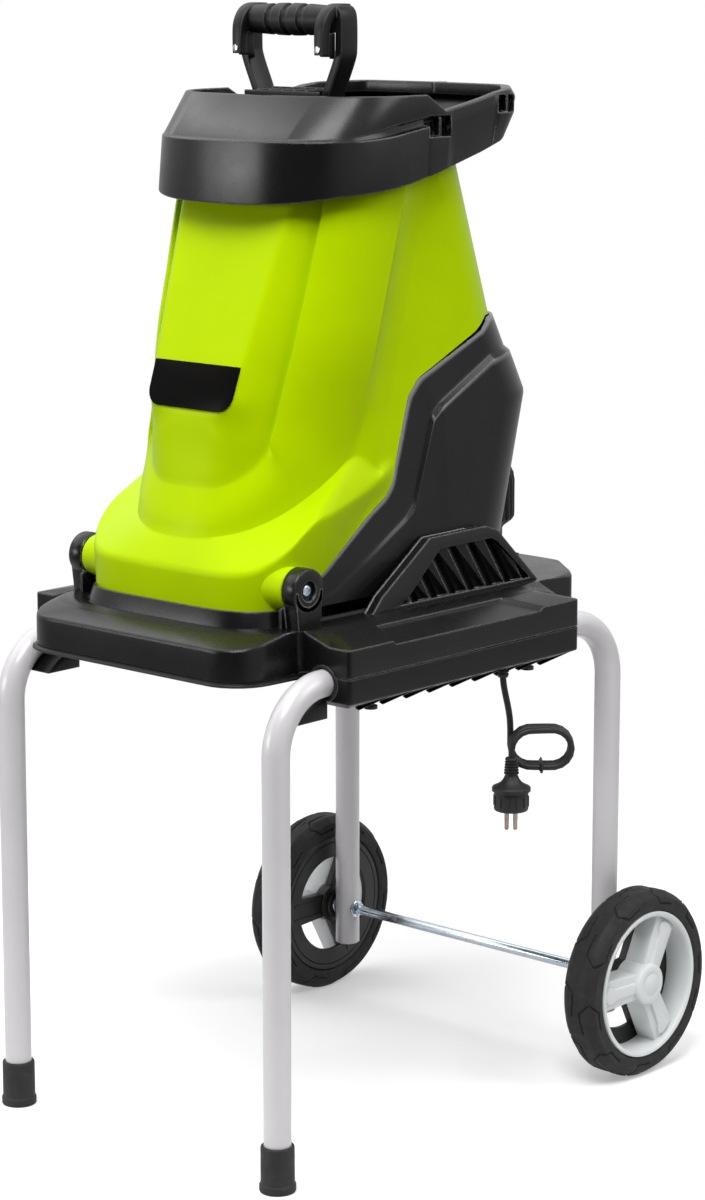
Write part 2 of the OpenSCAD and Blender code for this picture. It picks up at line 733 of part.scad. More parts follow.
leg_screw_y = leg_y - bend_r - tube_insert + 20;
leg_screw_r = 3;
module leg_screws() {
    color("silver") from_middle() both_sides() for (s = [-1, 1]) translate([leg_x, s * leg_screw_y, 0]) {
        translate([0, 0, bevel_z - 3]) cylinder(r = 6, h = 3);
        translate([0, 0, bevel_z - 1]) cylinder(r = leg_screw_r, h = tube_z - tube_r - bevel_z + 1 - 0.2);
    }
}

axle_end = wheel_out - cover_t + 2;
module axle() {
    color("#c4c8cc") from_middle() along_x(-axle_end, leg_y, wheel_r, axle_r, 2 * axle_end);
}

module axle_washers() {
    color("#c4c8cc") from_middle() both_sides() difference() {
        along_x(leg_x - tube_r - 3, leg_y, wheel_r, axle_r + 4, 2.8);
        along_x(leg_x - tube_r - 4, leg_y, wheel_r, axle_r + 0.1, 5);
    }
}

// Turned pieces of the right wheel, drawn along +X from the wheel's inner face
module wheel_frame() {
    translate([wheel_in, leg_y, wheel_r]) rotate([0, 90, 0]) children();
}

core_w = tyre_w - cover_t;
spoke_w = 22;
module wheel_core() {
    wheel_frame() difference() {
        union() {
            rotate_extrude() polygon([[core_r - 9, 2], [core_r - 0.1, 2], [core_r - 0.1, core_w], [core_r - 9, core_w]]);
            for (a = [0, 120, 240]) rotate(a + 30) translate([hub_r - 4, -spoke_w / 2, core_w - 18]) {
                cube([core_r - hub_r, spoke_w, 16]);
            }
            translate([0, 0, -wheel_gap + 1]) cylinder(r = hub_r, h = core_w + wheel_gap - 1);
        }
        translate([0, 0, -wheel_gap - 1]) cylinder(r = axle_r + axle_play, h = core_w + wheel_gap + 2);
    }
}

module tyre() {
    wheel_frame() rotate_extrude($fn = 96) polygon([[core_r, 2], [wheel_r - 6, 0], [wheel_r - 1, 5], [wheel_r, tyre_w / 2],
        [wheel_r - 1, tyre_w - 5], [wheel_r - 6, tyre_w], [core_r, tyre_w - 2]]);
}

cover_r = core_r - 1.5;
module wheel_cover() {
    wheel_frame() translate([0, 0, core_w]) difference() {
        union() {
            difference() {
                cylinder(r = cover_r, h = cover_t);
                translate([0, 0, -1]) cylinder(r = cover_r - 12, h = cover_t + 2);
            }
            for (a = [0, 120, 240]) rotate(a + 30) translate([hub_r, -13, 0]) cube([cover_r - hub_r - 4, 26, cover_t]);
            cylinder(r = hub_r + 7, h = cover_t + 3);
        }
        translate([0, 0, -1]) cylinder(r = axle_r + 0.4, h = axle_end - wheel_in - core_w + 1.4);
    }
}

module wheel_core_right() {
    color("#202022") from_middle() wheel_core();
}

module tyre_right() {
    color("#161618") from_middle() tyre();
}

module wheel_cover_right() {
    color("#c9cbcd") from_middle() wheel_cover();
}

module wheel_core_left() {
    color("#202022") from_middle() mirror([1, 0, 0]) wheel_core();
}

module tyre_left() {
    color("#161618") from_middle() mirror([1, 0, 0]) tyre();
}

module wheel_cover_left() {
    color("#c9cbcd") from_middle() mirror([1, 0, 0]) wheel_cover();
}

// Hinge between base and hopper
head_r = 11;
head_sink = 5;
module hinge_bracket() {
    translate([ear_x, hinge_y, hinge_z]) rotate([0, 90, 0]) difference() {
        union() {
            cylinder(r = ear_r, h = ear_t);
            translate([0, -ear_r + 1, 0]) cube([hinge_up, 2 * ear_r - 2, ear_t]);
        }
        translate([0, 0, -1]) cylinder(r = hinge_d / 2 + 0.05, h = ear_t + 2);
        translate([0, 0, ear_t - head_sink]) cylinder(r = head_r, h = head_sink + 1);
    }
}

module hinge_bracket_right() {
    color("#2a2a2c") from_middle() hinge_bracket();
}

module hinge_bracket_left() {
    color("#2a2a2c") from_middle() mirror([1, 0, 0]) hinge_bracket();
}

barrel_r = 19;
barrel_in = 100;
module hinge_screws() {
    color("#b9bcc0") from_middle() both_sides() {
        along_x(barrel_in + 4, hinge_y, hinge_z, hinge_d / 2, ear_x + ear_t - head_sink - barrel_in - 3);
        along_x(ear_x + ear_t - head_sink, hinge_y, hinge_z, 6, 3);
    }
}

// Vent panel: louvred frame standing on the deck beside the hopper
vent_x = ear_x + 4;
vent_t = 9;
vent_h = 60;
vent_front = -85;
vent_rear = rear_low - 8;
vent_rim = 15;
slats = 6;
module vent_panel() {
    outer = [[vent_front, 0], [vent_front + 90, vent_h - 2], [vent_rear - 67, vent_h], [vent_rear - 52, vent_h - 5],
        [vent_rear, 0]];
    inner = [[vent_front + 50, 8], [vent_front + 103, vent_h - 13], [vent_rear - 57, vent_h - 12], [vent_rear - 13, 8]];
    lean = 26;
    pitch = (vent_rear - vent_front - 60) / slats;
    translate([vent_x, 0, deck_z]) rotate([90, 0, 90]) {
        linear_extrude(vent_t) difference() {
            polygon(outer);
            polygon(inner);
        }
        translate([0, 0, 1]) linear_extrude(vent_t - 3) intersection() {
            polygon(inner);
            union() for (i = [0:slats - 1]) translate([vent_front + 66 + i * pitch, 0]) {
                polygon([[lean / 2, 0], [lean / 2 + 9, 0], [9 - lean / 2, vent_h], [-lean / 2, vent_h]]);
            }
        }
    }
}

module vent_panel_right() {
    color("#242426") from_middle() vent_panel();
}

module vent_panel_left() {
    color("#242426") from_middle() mirror([1, 0, 0]) vent_panel();
}

// Lock at the rear of the hopper
post_r = 26;
module lock_post() {
    color("#2a2a2c") from_middle() translate([0, lock_fwd, deck_z]) difference() {
        cylinder(r = post_r, h = bracket_z - fit - deck_z);
        translate([0, 0, -1]) cylinder(r = lock_r + lock_play, h = bracket_z - deck_z + 2);
    }
}

lug_r = 34;
bracket_front = rear_low - 15;
bracket_wing = 44;
bracket_deep = 63;
module lock_bracket() {
    color("#262628") from_middle() translate([0, 0, bracket_z]) difference() {
        union() {
            translate([-lug_r - bracket_wing, bracket_front, 0]) {
                cube([2 * (lug_r + bracket_wing), bracket_deep, bracket_t]);
            }
            translate([-lug_r, bracket_front, 0]) cube([2 * lug_r, lock_fwd - bracket_front, bracket_t]);
            translate([0, lock_fwd, 0]) cylinder(r = lug_r, h = bracket_t);
        }
        translate([0, lock_fwd, -1]) cylinder(r = lock_r + 0.06, h = bracket_t + 2);
    }
}

knob_ribs = 28;
knob_neck = 15;
knob_z = bracket_z + bracket_t + fit;
module lock_knob() {
    color("#1f1f21") from_middle() translate([0, lock_fwd, knob_z]) difference() {
        union() {
            cylinder(r = knob_r - 12, h = knob_neck);
            translate([0, 0, knob_neck]) linear_extrude(knob_h - knob_neck - 4) polygon([for (i = [0:2 * knob_ribs - 1])
                let (r = knob_r - (i % 2) * 3, a = 180 * i / knob_ribs) [r * cos(a), r * sin(a)]]);
            translate([0, 0, knob_h - 4]) cylinder(r = knob_r - 6, h = 4);
        }
        translate([0, 0, -1]) cylinder(r = lock_r + 0.1, h = 21);
    }
}

module lock_screw() {
    low = deck_z - 8;
    color("silver") from_middle() translate([0, lock_fwd, low]) cylinder(r = lock_r, h = knob_z + 18 - low);
}

// Hopper shells: heights h count from the hopper's lower edge
crease_foot = hinge_y + 53;
crease_lean = 0.286;
// Front face: a flat raised panel, a bevel around it, and a valley where the bevel meets the rounded nose
panel_low = 170;
panel_round = 16;
panel_lean = 0.328;
panel_foot = shield_foot - 6.5;
panel_flare = 0.09;
valley_low = 104;
valley_round = 48;
face_steps = 10;
panel_edge = 0.2;
valley_edge = 0.4;
face_rows = [0, 0.12, 0.22, 0.32, 0.38, 0.45, 0.67, 0.84, 1];
column_rows = len(face_rows) + 2;
function front_y(h) = shield_foot + front_lean * h;
function crease_y(h) = crease_foot + crease_lean * h;
function nose_power(h) = lookup(h, [[162, 2.4], [229, 2.6], [290, 2.85], [345, 3.25], [400, 3.6]]);
function nose(t, yf, yc, x, n) = [x * pow(sin(t), 2 / n), yc - (yc - yf) * pow(cos(t), 2 / n)];
function seam_front(y) = max(0, (y - hinge_y - 1) * 0.67);
function shield_low(t) = 62.5 + 73.5 * pow(t / 90, 2.4);
function skirt_top(t) = skirt_h + 47 * pow(t / 90, 1.3);
function panel_x(h) = badge_x + panel_flare * (h - panel_low - badge_h);
function panel_y(h) = panel_foot + panel_lean * h;
function valley_x(h) = lookup(h, [[104, shield_x - 45], [149, shield_x - 40], [229, shield_x - 31], [345, shield_x - 26]]);
// Distance from a U-shaped outline that is open upwards, less than zero inside it
function u_distance(x, h, w, low, r) = let (dx = x - w + r, dh = low + r - h)
    norm([max(dx, 0), max(dh, 0)]) + min(max(dx, dh), 0) - r;
function nose_y(x, h) = let (n = nose_power(h), c = crease_y(h))
    c - (c - front_y(h)) * pow(max(0, 1 - pow(x / shield_x, n)), 1 / n);
function face_y(x, h) =
    let (p = u_distance(x, h, panel_x(h), panel_low, panel_round),
        v = u_distance(x, h, valley_x(h), valley_low, valley_round), k = p <= 0 ? 0 : v >= 0 ? 1 : p / (p - v))
    lerp(panel_y(h), nose_y(x, h), k);
function face_x(u, h) =
    let (n = nose_power(h), a = asin(pow(valley_x(h) / shield_x, n / 2)), w = panel_x(h))
    u < panel_edge ? w * u / panel_edge
    : u < valley_edge ? lerp(w, valley_x(h), (u - panel_edge) / (valley_edge - panel_edge))
    : shield_x * pow(sin(lerp(a, 90, (u - valley_edge) / (1 - valley_edge))), 2 / n);
function face_angle(u) = asin(min(1, pow(face_x(u, valley_low) / shield_x, nose_power(valley_low) / 2)));
function side_front_x(h) = lookup(h, [[30, skirt_x - 1], [90, shield_x - 4], [162, shield_x - 8], [400, shield_x - 13]]);
function side_rear_x(h) = lookup(h, [[0, skirt_x + 2], [107, skirt_x], [162, skirt_x - 1], [240, skirt_x - 5],
    [400, skirt_x - 13]]);
function green_rear(h) = rear_low - 5 - 0.33 * (h - seam_top);
function black_rear(h) = h < bulge_h ? rear_low + rear_bulge * h / bulge_h
    : rear_low + rear_bulge * (seam_top - h) / (seam_top - bulge_h);
function corner_r(h) = lookup(h, [[0, 75], [seam_top, 62], [400, 50]]);
function side_x(y, h) = let (a = crease_y(h) + step_w, b = green_rear(max(h, seam_top)) - 60)
    lerp(side_front_x(h), side_rear_x(h), min(1, max(0, (y - a) / (b - a))));
function side_point(y, h, out) = [side_x(y, h) + out, y, h];
function corner_point(a, h, rear, out) = let (r = corner_r(h), x = side_rear_x(h) - r)
    [x + (r + out) * cos(a), rear - r + (r + out) * sin(a), h];
function inward(p, d) = let (c = crease_y(p[2]) + 30, v = [p[0], p[1] - c], u = v / norm(v))
    [p[0] - d * u[0], p[1] - d * u[1], p[2]];

skirt_side = hinge_y + 50;
ledge_knee = 0.72;
function nose_column(u) =
    let (t = face_angle(u), low = nose(t, skirt_y, skirt_side, skirt_x, 3), a = shield_low(t), s = skirt_top(t),
        x = face_x(u, a), shoulder = [low[0], low[1], s], knee = [low[0], low[1], lerp(s, a, ledge_knee)],
        ledge = (shoulder + 2 * knee + [x, face_y(x, a), a]) / 4)
    concat([[low[0], low[1], seam_front(low[1])], shoulder, ledge],
        [for (r = face_rows) let (h = lerp(a, shell_h, r), w = face_x(u, h)) [w, face_y(w, h), h]]);
// Step behind the nose's side crease: its foot as distance behind the hinge and height, then its upper run
step_foot = [[70, 47], [76, 86], [90, 113]];
step_low = 140;
step_w = 14;
step_column = concat([for (p = step_foot) side_point(hinge_y + p[0], p[1], 0)],
    [for (r = face_rows) let (h = lerp(step_low, shell_h, r)) side_point(crease_y(h) + step_w, h, 0)]);

// Seam between the shells on the side, and the upper ends of the columns that start there
seam = [[-48, 76], [-28, 88], [-19, 99], [7, 176], [20, 191]];
seam_ends = [25, 29, 33, 39, 45];
function side_column(i) = [for (k = [0:column_rows]) let (t = k / column_rows)
    side_point(lerp(seam[i][0], seam_ends[i], t), lerp(seam[i][1], shell_h, t), 0)];
corner_angles = [0, 22, 45, 68, 90];
function corner_seam(a) = lerp(228, seam_top, min(1, a / 22));
function corner_column(a) = [for (k = [0:column_rows])
    let (h = lerp(corner_seam(a), shell_h, k / column_rows)) corner_point(a, h, green_rear(h), 0)];
rear_column = [for (k = [0:column_rows]) let (h = lerp(seam_top, shell_h, k / column_rows)) [0, green_rear(h) + 3, h]];
green_half = concat([for (i = [0:face_steps]) nose_column(i / face_steps)], [step_column],
    [for (i = [0:len(seam) - 1]) side_column(i)], [for (a = corner_angles) corner_column(a)], [rear_column]);
green_columns = full_ring(green_half);

module front_shell() {
    color("#a8cf00") from_middle() difference() {
        union() {
            translate([0, 0, foot_z]) shell(green_columns, [for (c = green_columns) [for (p = c) inward(p, shell_wall)]]);
            both_sides() along_x(barrel_in, hinge_y, hinge_z, barrel_r, ear_x - 0.5 - barrel_in);
        }
        both_sides() along_x(barrel_in - 1, hinge_y, hinge_z, hinge_d / 2 + hinge_play, ear_x - barrel_in + 2);
    }
}

// Rear shell: lower edge, edge of the proud panel and seam, for each column of its side
rear_sides = [[[-138, 0], [-138, 5], [-138, 14]], [[-108, 0], [-102, 13], [-112, 33]],
    [[-48, 0], [-48, 42], [-48, 76]], [[-2, 0], [-4, 67], [-28, 88]], [[12, 0], [8, 78], [-19, 99]],
    [[40, 0], [36, 157], [7, 176]], [[54, 0], [47, 167], [20, 191]]];
border = 0.5;
panel_rows = 4;
function panel_side(c, i) =
    let (proud = border + rear_proud * i / (len(rear_sides) - 1))
    concat([for (k = [0:panel_rows]) let (t = k / panel_rows, h = lerp(c[0][1], max(c[1][1] - 4, 2), t))
            side_point(lerp(c[0][0], c[1][0], t), h, proud)],
        [side_point(c[1][0], c[1][1], border), side_point(c[2][0] + 0.8, c[2][1] - shell_gap, border)]);
function panel_corner(a) =
    let (s = corner_seam(a), e = lerp(205, 209, min(1, a / 22)))
    concat([for (k = [0:panel_rows]) let (h = lerp(0, e - 5, k / panel_rows)) corner_point(a, h, black_rear(h), border + rear_proud)],
        [corner_point(a, e, black_rear(e), border), corner_point(a, s - shell_gap, black_rear(s), border)]);
panel_middle = [for (p = panel_corner(90)) [0, p[1] + 1.5, p[2]]];
black_half = concat([for (i = [0:len(rear_sides) - 1]) panel_side(rear_sides[i], i)],
    [for (a = corner_angles) panel_corner(a)], [panel_middle]);
black_columns = concat(black_half, [for (i = [len(black_half) - 2:-1:0]) [for (q = black_half[i]) [-q[0], q[1], q[2]]]]);

module rear_shell() {
    color("#29292b") from_middle() translate([0, 0, foot_z]) {
        shell(black_columns, [for (c = black_columns) [for (p = c) inward(p, shell_wall)]], false);
    }
}

// Blank badge plate on the raised panel, with rounded lower corners
badge_edge = 1;
badge_gap = 0.6;
badge_t = 1.4;
badge_stops = [-1, -0.94, -0.85, -0.7, 0, 0.7, 0.85, 0.94, 1];
function badge_low(f) = let (w = badge_x - badge_edge, k = max(0, (abs(f) * w - w + panel_round) / panel_round))
    panel_low + 2 + panel_round * (1 - sqrt(max(0, 1 - k * k)));
function badge_column(f, out) = [for (k = [0:2]) let (h = lerp(badge_low(f), panel_low + badge_h, k / 2))
    [f * (panel_x(h) - badge_edge), panel_y(h) - out, h]];
module badge_plate() {
    color("#0c0c0c") from_middle() translate([0, 0, foot_z]) {
        shell([for (f = badge_stops) badge_column(f, badge_gap + badge_t)], [for (f = badge_stops) badge_column(f, badge_gap)], false);
    }
}

// Funnel cover: lower edge, band, hood and rim; heights count from the front shell's top
nose_steps = 9;
function funnel_low(y) = lookup(y, [[-128, -47], [-88, -39], [-47, -35], [-12, -30], [24, -24], [60, -15], [97, -6],
    [131, 4], [152, 10]]);
function band_top(y) = lookup(y, [[-128, 8], [-73, 9], [-31, 13], [17, 20], [39, 25], [152, 44]]);
function hood_foot(y) = lookup(y, [[-128, 10], [-73, 13], [-31, 22], [15, 27], [39, 29], [152, 47]]);
function nose_funnel(t) =
    let (a = nose(t, -126, -12, funnel_x - 1, 2.6), b = nose(t, -127, -12, funnel_x, 2.6),
        c = nose(t, -124, -10, funnel_x - 2, 2.6), d = nose(t, -86, 6, funnel_x - 2, 2.8))
    [[a[0], a[1], funnel_low(a[1])], [b[0], b[1], band_top(b[1])], [c[0], c[1], hood_foot(c[1])], [d[0], d[1], hood_h]];
mouth = [[0, 14, hood_h], [0, 39, 33], [0, 78, 40], [0, 118, 48], [4, 136, 50], [20, 150, 51], [64, 152, 51], [funnel_x, 152, 51]];
function mouth_column(m) = let (x = funnel_x - m[0], y = m[1])
    [[max(0, x - 1), y - 1, funnel_low(y)], [x, y, band_top(y) - 6], [max(0, x - (y < 30 ? 2 : 0)), y, hood_foot(y) - (y > 40 ? 4 : 0)],
        [max(0, x - (y < 30 ? 1 : 0)), y, m[2]]];
funnel_half = concat([for (i = [0:nose_steps]) nose_funnel(90 * i / nose_steps)], [for (m = mouth) mouth_column(m)]);
funnel_columns = full_ring(funnel_half);
function into_funnel(p, d) = let (v = [p[0], p[1] - 15], u = v / norm(v)) [p[0] - d * u[0], p[1] - d * u[1], p[2]];

module funnel_cover() {
    color("#2c2c2e") from_middle() translate([0, 0, shell_top]) {
        shell(funnel_columns, [for (c = funnel_columns) [for (p = c) into_funnel(p, shell_wall)]]);
    }
}

// Feed chute hung from a flange that rests on the front shell and fits inside the funnel cover
flange_t = 3;
flange_gap = 0.5;
function flange_at(c, z) = let (k = (z - c[0][2]) / (c[1][2] - c[0][2]), t = min(1, max(0, k)),
    p = lerp(c[0], c[1], t), q = into_funnel(p, shell_wall + flange_gap)) [q[0], q[1], z];
function chute_point(p, x, front, rear, z) =
    let (m = (rear - front) / 2, dx = p[0], dy = p[1] - 15, k = pow(pow(abs(dx) / x, 4) + pow(abs(dy) / (front + m), 4), -0.25))
    [dx * k, m + dy * k, z];
chute_low = chute_z - shell_top;
throat_z = -65;
function chute_column(c) =
    let (p = [c[0][0], c[0][1]], w = 2.5, lip = throat_x + 13)
    [flange_at(c, 0), flange_at(c, flange_t), chute_point(p, lip, 72, 72, flange_t), chute_point(p, throat_x - w, 68, 50, throat_z),
        chute_point(p, 52 - w, 122, -36, chute_low), chute_point(p, 52, 125, -33, chute_low),
        chute_point(p, throat_x, 70, 52, throat_z), chute_point(p, lip + w, 75, 75, 0)];

lip_screw_x = throat_x + 21;
flange_screws = [[lip_screw_x, 5], [lip_screw_x, 55]];
module feed_chute() {
    color("#1f1f21") from_middle() translate([0, 0, shell_top]) difference() {
        sweep([for (c = funnel_columns) chute_column(c)], true);
        both_sides() for (p = flange_screws) translate([p[0], p[1], -1]) cylinder(r = screw_r + screw_play, h = flange_t + 2);
    }
}

module hopper_screws() {
    color("silver") from_middle() both_sides() for (p = flange_screws) {
        translate([p[0], p[1], shell_top + flange_t]) pan_screw(flange_t + 4);
    }
}

// Pusher: paddle in the chute, posts and grip above the hood
pusher_y = -28;
paddle_depth = 30;
foot_x = 40;
// Stop bar that rests on the chute's flange
stop_x = throat_x + 30;
stop_t = 6;
handle_top = rim_z + handle_h;
grip_z = handle_top - grip_d / 2;
module pusher_frame() {
    half = [[foot_x, 0], [handle_x, 32], [handle_x, handle_h - 8], [handle_x - 10, handle_h - 8], [handle_x - 10, 34],
        [foot_x - 8, 8], [0, 8], [0, 0]];
    color("#28282a") from_middle() difference() {
        union() {
            translate([0, pusher_y + post_depth / 2, rim_z]) rotate([90, 0, 0]) linear_extrude(post_depth) {
                polygon(half);
                mirror([1, 0]) polygon(half);
            }
            translate([-paddle_x, pusher_y - paddle_depth / 2, rim_z - paddle_l]) {
                cube([2 * paddle_x, paddle_depth, paddle_l + 1]);
            }
            translate([-stop_x, pusher_y - paddle_depth / 2, shell_top + flange_t]) cube([2 * stop_x, paddle_depth, stop_t]);
        }
        along_x(-handle_x - 1, pusher_y, grip_z, screw_r + screw_play, 2 * handle_x + 2);
    }
}

module pusher_grip() {
    gx = handle_x - 10 - fit;
    color("#2f2f31") from_middle() translate([0, pusher_y, grip_z]) rotate([0, 90, 0]) difference() {
        translate([0, 0, -gx]) cylinder(r = grip_d / 2, h = 2 * gx);
        for (x = [-22, 0, 22]) translate([0, 0, x - 4]) difference() {
            cylinder(r = grip_d, h = 8);
            translate([0, 0, -1]) cylinder(r = grip_d / 2 - 2, h = 10);
        }
        for (s = [-1, 1]) translate([0, 0, s * (gx - 8) - 9]) cylinder(r = screw_r + screw_play, h = 18);
    }
}

module pusher_screws() {
    color("silver") from_middle() both_sides() translate([handle_x, pusher_y, grip_z]) rotate([0, 90, 0]) {
        cylinder(r = screw_head_r, h = screw_head_h);
        translate([0, 0, -18]) cylinder(r = screw_r, h = 18.5);
    }
}

upper_housing();
lower_housing();
chamber_plate();
hinge_bracket_left();
hinge_bracket_right();
hinge_screws();
vent_panel_left();
vent_panel_right();
leg_front_left();
leg_front_right();
leg_rear_left();
leg_rear_right();
foot_caps();
leg_screws();
axle();
axle_washers();
motor_case();
motor_armature();
motor_pulley();
drive_belt();
blade_pulley();
blade_shaft();
shaft_bearings();
blade_disc();
blades();
blade_screws();
belt_cover();
switch_box();
power_rocker();
reset_button();
safety_switch();
safety_plunger();
cord_gland();
cord();
cord_hank();
cord_tie();
plug_body();
plug_pins();
housing_screws();
front_shell();
rear_shell();
funnel_cover();
feed_chute();
badge_plate();
lock_bracket();
hopper_screws();
lock_knob();
lock_screw();
lock_post();
pusher_frame();
pusher_grip();
pusher_screws();
wheel_core_left();
tyre_left();
wheel_cover_left();
wheel_core_right();
tyre_right();
wheel_cover_right();
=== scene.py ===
# %% [markdown]
# # Dressing a garden shredder
# The packed model brings every solid of the shredder as a fixed frame. This lesson builds the
# surfaces that the eye sees, moulded shells, bent tube, rubber and cord, over that frame.
# Each new piece rides on one of the frame's bodies, so it moves with the joints by itself.

# %% Load the frame
import math

import bmesh
import bpy
import numpy as np
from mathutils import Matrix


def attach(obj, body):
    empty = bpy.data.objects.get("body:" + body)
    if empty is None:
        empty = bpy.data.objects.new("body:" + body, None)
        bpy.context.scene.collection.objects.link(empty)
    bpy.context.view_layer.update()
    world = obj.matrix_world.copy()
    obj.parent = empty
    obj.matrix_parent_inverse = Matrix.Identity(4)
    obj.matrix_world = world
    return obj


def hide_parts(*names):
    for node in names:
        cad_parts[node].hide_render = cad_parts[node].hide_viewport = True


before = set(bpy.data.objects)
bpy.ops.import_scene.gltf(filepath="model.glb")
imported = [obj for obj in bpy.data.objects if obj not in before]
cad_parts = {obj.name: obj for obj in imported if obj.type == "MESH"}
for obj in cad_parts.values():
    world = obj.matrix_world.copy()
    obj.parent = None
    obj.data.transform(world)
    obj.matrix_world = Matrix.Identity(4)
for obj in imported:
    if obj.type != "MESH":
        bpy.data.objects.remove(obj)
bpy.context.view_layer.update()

# %% [markdown]
# ## Camera
# The photograph was taken with a long lens, a little above the machine and to its front right.
# A long lens keeps the legs nearly parallel, so the camera stands about three metres away.

# %% Camera at the photograph's angle
LENS_MM = 98.75
SENSOR_MM = 36.0
CAMERA_AT = (2.0761, -2.2744, 1.0786)
CAMERA_TURN = (math.radians(78.86), 0.0, math.radians(42.20))

camera_data = bpy.data.cameras.new("camera")
camera_data.lens, camera_data.sensor_width = LENS_MM, SENSOR_MM
camera = bpy.data.objects.new("camera", camera_data)
camera.location, camera.rotation_euler = CAMERA_AT, CAMERA_TURN
bpy.context.scene.collection.objects.link(camera)
bpy.context.scene.camera = camera
print("camera", CAMERA_AT)

# %% [markdown]
# ## Finishes
# Moulded plastic is never one flat colour. A tool leaves a fine grain, the pigment drifts a
# little across a large shell, and handling polishes it unevenly. Noise textures in object space
# give all three, so the grain has its real size and stays with the piece when it moves. Numbers
# that are the same everywhere are set on the shader itself, where other programs can read them.

# %% Helpers for finishes
def srgb(r, g, b):
    """A colour as it is read from a screen, 0 to 255, in the linear light that Blender counts in."""
    return tuple(((c / 255 + 0.055) / 1.055) ** 2.4 if c > 10 else c / 255 / 12.92
                 for c in (r, g, b)) + (1.0,)


def feed(tree, value, socket):
    """Wires an output into a socket, or sets a plain number or colour on it."""
    if hasattr(value, "is_linked"):
        tree.links.new(value, socket)
    else:
        socket.default_value = value


def node_math(tree, operation, a, b, clamp=False):
    """One step of arithmetic between two values of a node tree."""
    node = tree.nodes.new("ShaderNodeMath")
    node.operation, node.use_clamp = operation, clamp
    feed(tree, a, node.inputs[0])
    feed(tree, b, node.inputs[1])
    return node.outputs[0]


print("a screen grey of 128 is", round(srgb(128, 128, 128)[0], 3), "in linear light")

# %% [markdown]
# One class holds a material and offers the few nodes that every finish here needs: noise of a
# given size in millimetres, a colour ramp, a mix, a change of range and a bump. A finish could be
# wired by hand in the node editor; written as calls, all of them stay alike and easy to compare.

# %% A finish and its nodes
class Finish:
    """A node material with helpers for noise, ramps and bump."""

    def __init__(self, name, roughness, specular=0.5, **sockets):
        self.material = bpy.data.materials.new(name)
        self.material.use_nodes = True
        self.tree = self.material.node_tree
        self.nodes, self.links = self.tree.nodes, self.tree.links
        self.shader = self.nodes["Principled BSDF"]
        self.shader.inputs["Roughness"].default_value = roughness
        self.shader.inputs["Specular IOR Level"].default_value = specular
        for socket, value in sockets.items():
            self.shader.inputs[socket.replace("_", " ")].default_value = value
        self.place = self.nodes.new("ShaderNodeTexCoord").outputs["Object"]
        self.height = None

    def noise(self, size_mm, detail=3.0, rough=0.55):
        node = self.nodes.new("ShaderNodeTexNoise")
        node.inputs["Scale"].default_value = 1000.0 / size_mm
        node.inputs["Detail"].default_value = detail
        node.inputs["Roughness"].default_value = rough
        self.links.new(self.place, node.inputs["Vector"])
        return node.outputs["Fac"]

    def ramp(self, value, *stops):
        node = self.nodes.new("ShaderNodeValToRGB")
        while len(node.color_ramp.elements) < len(stops):
            node.color_ramp.elements.new(0.5)
        for element, (at, colour) in zip(node.color_ramp.elements, stops):
            element.position, element.color = at, colour
        self.links.new(value, node.inputs["Fac"])
        return node.outputs["Color"]

    def mix(self, share, a, b):
        node = self.nodes.new("ShaderNodeMix")
        node.data_type = "RGBA"
        for socket, value in ((0, share), (6, a), (7, b)):
            feed(self.tree, value, node.inputs[socket])
        return node.outputs[2]

    def span(self, value, low, high, start=0.3, end=0.7):
        node = self.nodes.new("ShaderNodeMapRange")
        for socket, number in zip(("From Min", "From Max", "To Min", "To Max"), (start, end, low, high)):
            node.inputs[socket].default_value = number
        self.links.new(value, node.inputs["Value"])
        return node.outputs["Result"]

    def colour(self, value):
        self.links.new(value, self.shader.inputs["Base Color"])
        return self

    def roughness(self, value):
        self.links.new(value, self.shader.inputs["Roughness"])
        return self

    def bump(self, value, depth_mm, strength=1.0):
        node = self.nodes.new("ShaderNodeBump")
        node.inputs["Strength"].default_value = strength
        node.inputs["Distance"].default_value = depth_mm / 1000.0
        self.links.new(value, node.inputs["Height"])
        if self.height:
            self.links.new(self.height, node.inputs["Normal"])
        self.height = node.outputs["Normal"]
        self.links.new(self.height, self.shader.inputs["Normal"])
        return self


print("finish helpers:", [name for name in vars(Finish) if not name.startswith("_")])

# %% [markdown]
# The edges of black plastic get a paler tint, a painted highlight for the thin bright lines where
# moulded edges catch the light. On a piece with crisp corners a bevel node gives the normal of a
# rounded edge, and the painted highlight lies where that normal turns away from the face. On a
# finely divided skin no corner is crisp, and there the pointiness of the surface finds the ridges.

# %% Painted edge highlights and moulded plastic
# How far the rounded edge, and the painted highlight on it, reach from a crisp corner.
EDGE_MM = 2.0


def painted_edge_highlights(f):
    """Share of painted highlight on an outer edge: where a rounded edge would turn away from the face."""
    rounded, shape = f.nodes.new("ShaderNodeBevel"), f.nodes.new("ShaderNodeNewGeometry")
    rounded.samples = 4
    rounded.inputs["Radius"].default_value = EDGE_MM / 1000.0
    turn = f.nodes.new("ShaderNodeVectorMath")
    turn.operation = "DOT_PRODUCT"
    f.links.new(rounded.outputs["Normal"], turn.inputs[0])
    f.links.new(shape.outputs["Normal"], turn.inputs[1])
    turned = f.span(turn.outputs["Value"], 1.0, 0.0, 0.84, 0.985)
    outer = f.span(shape.outputs["Pointiness"], 0.0, 1.0, 0.5, 0.506)
    f.height = rounded.outputs["Normal"]
    return node_math(f.tree, "MULTIPLY", turned, outer, True)


def painted_crest_highlights(f):
    """Share of painted highlight on a ridge of a finely divided skin: where it is pointed outwards."""
    shape = f.nodes.new("ShaderNodeNewGeometry")
    return f.span(shape.outputs["Pointiness"], 0.0, 1.0, 0.514, 0.55)


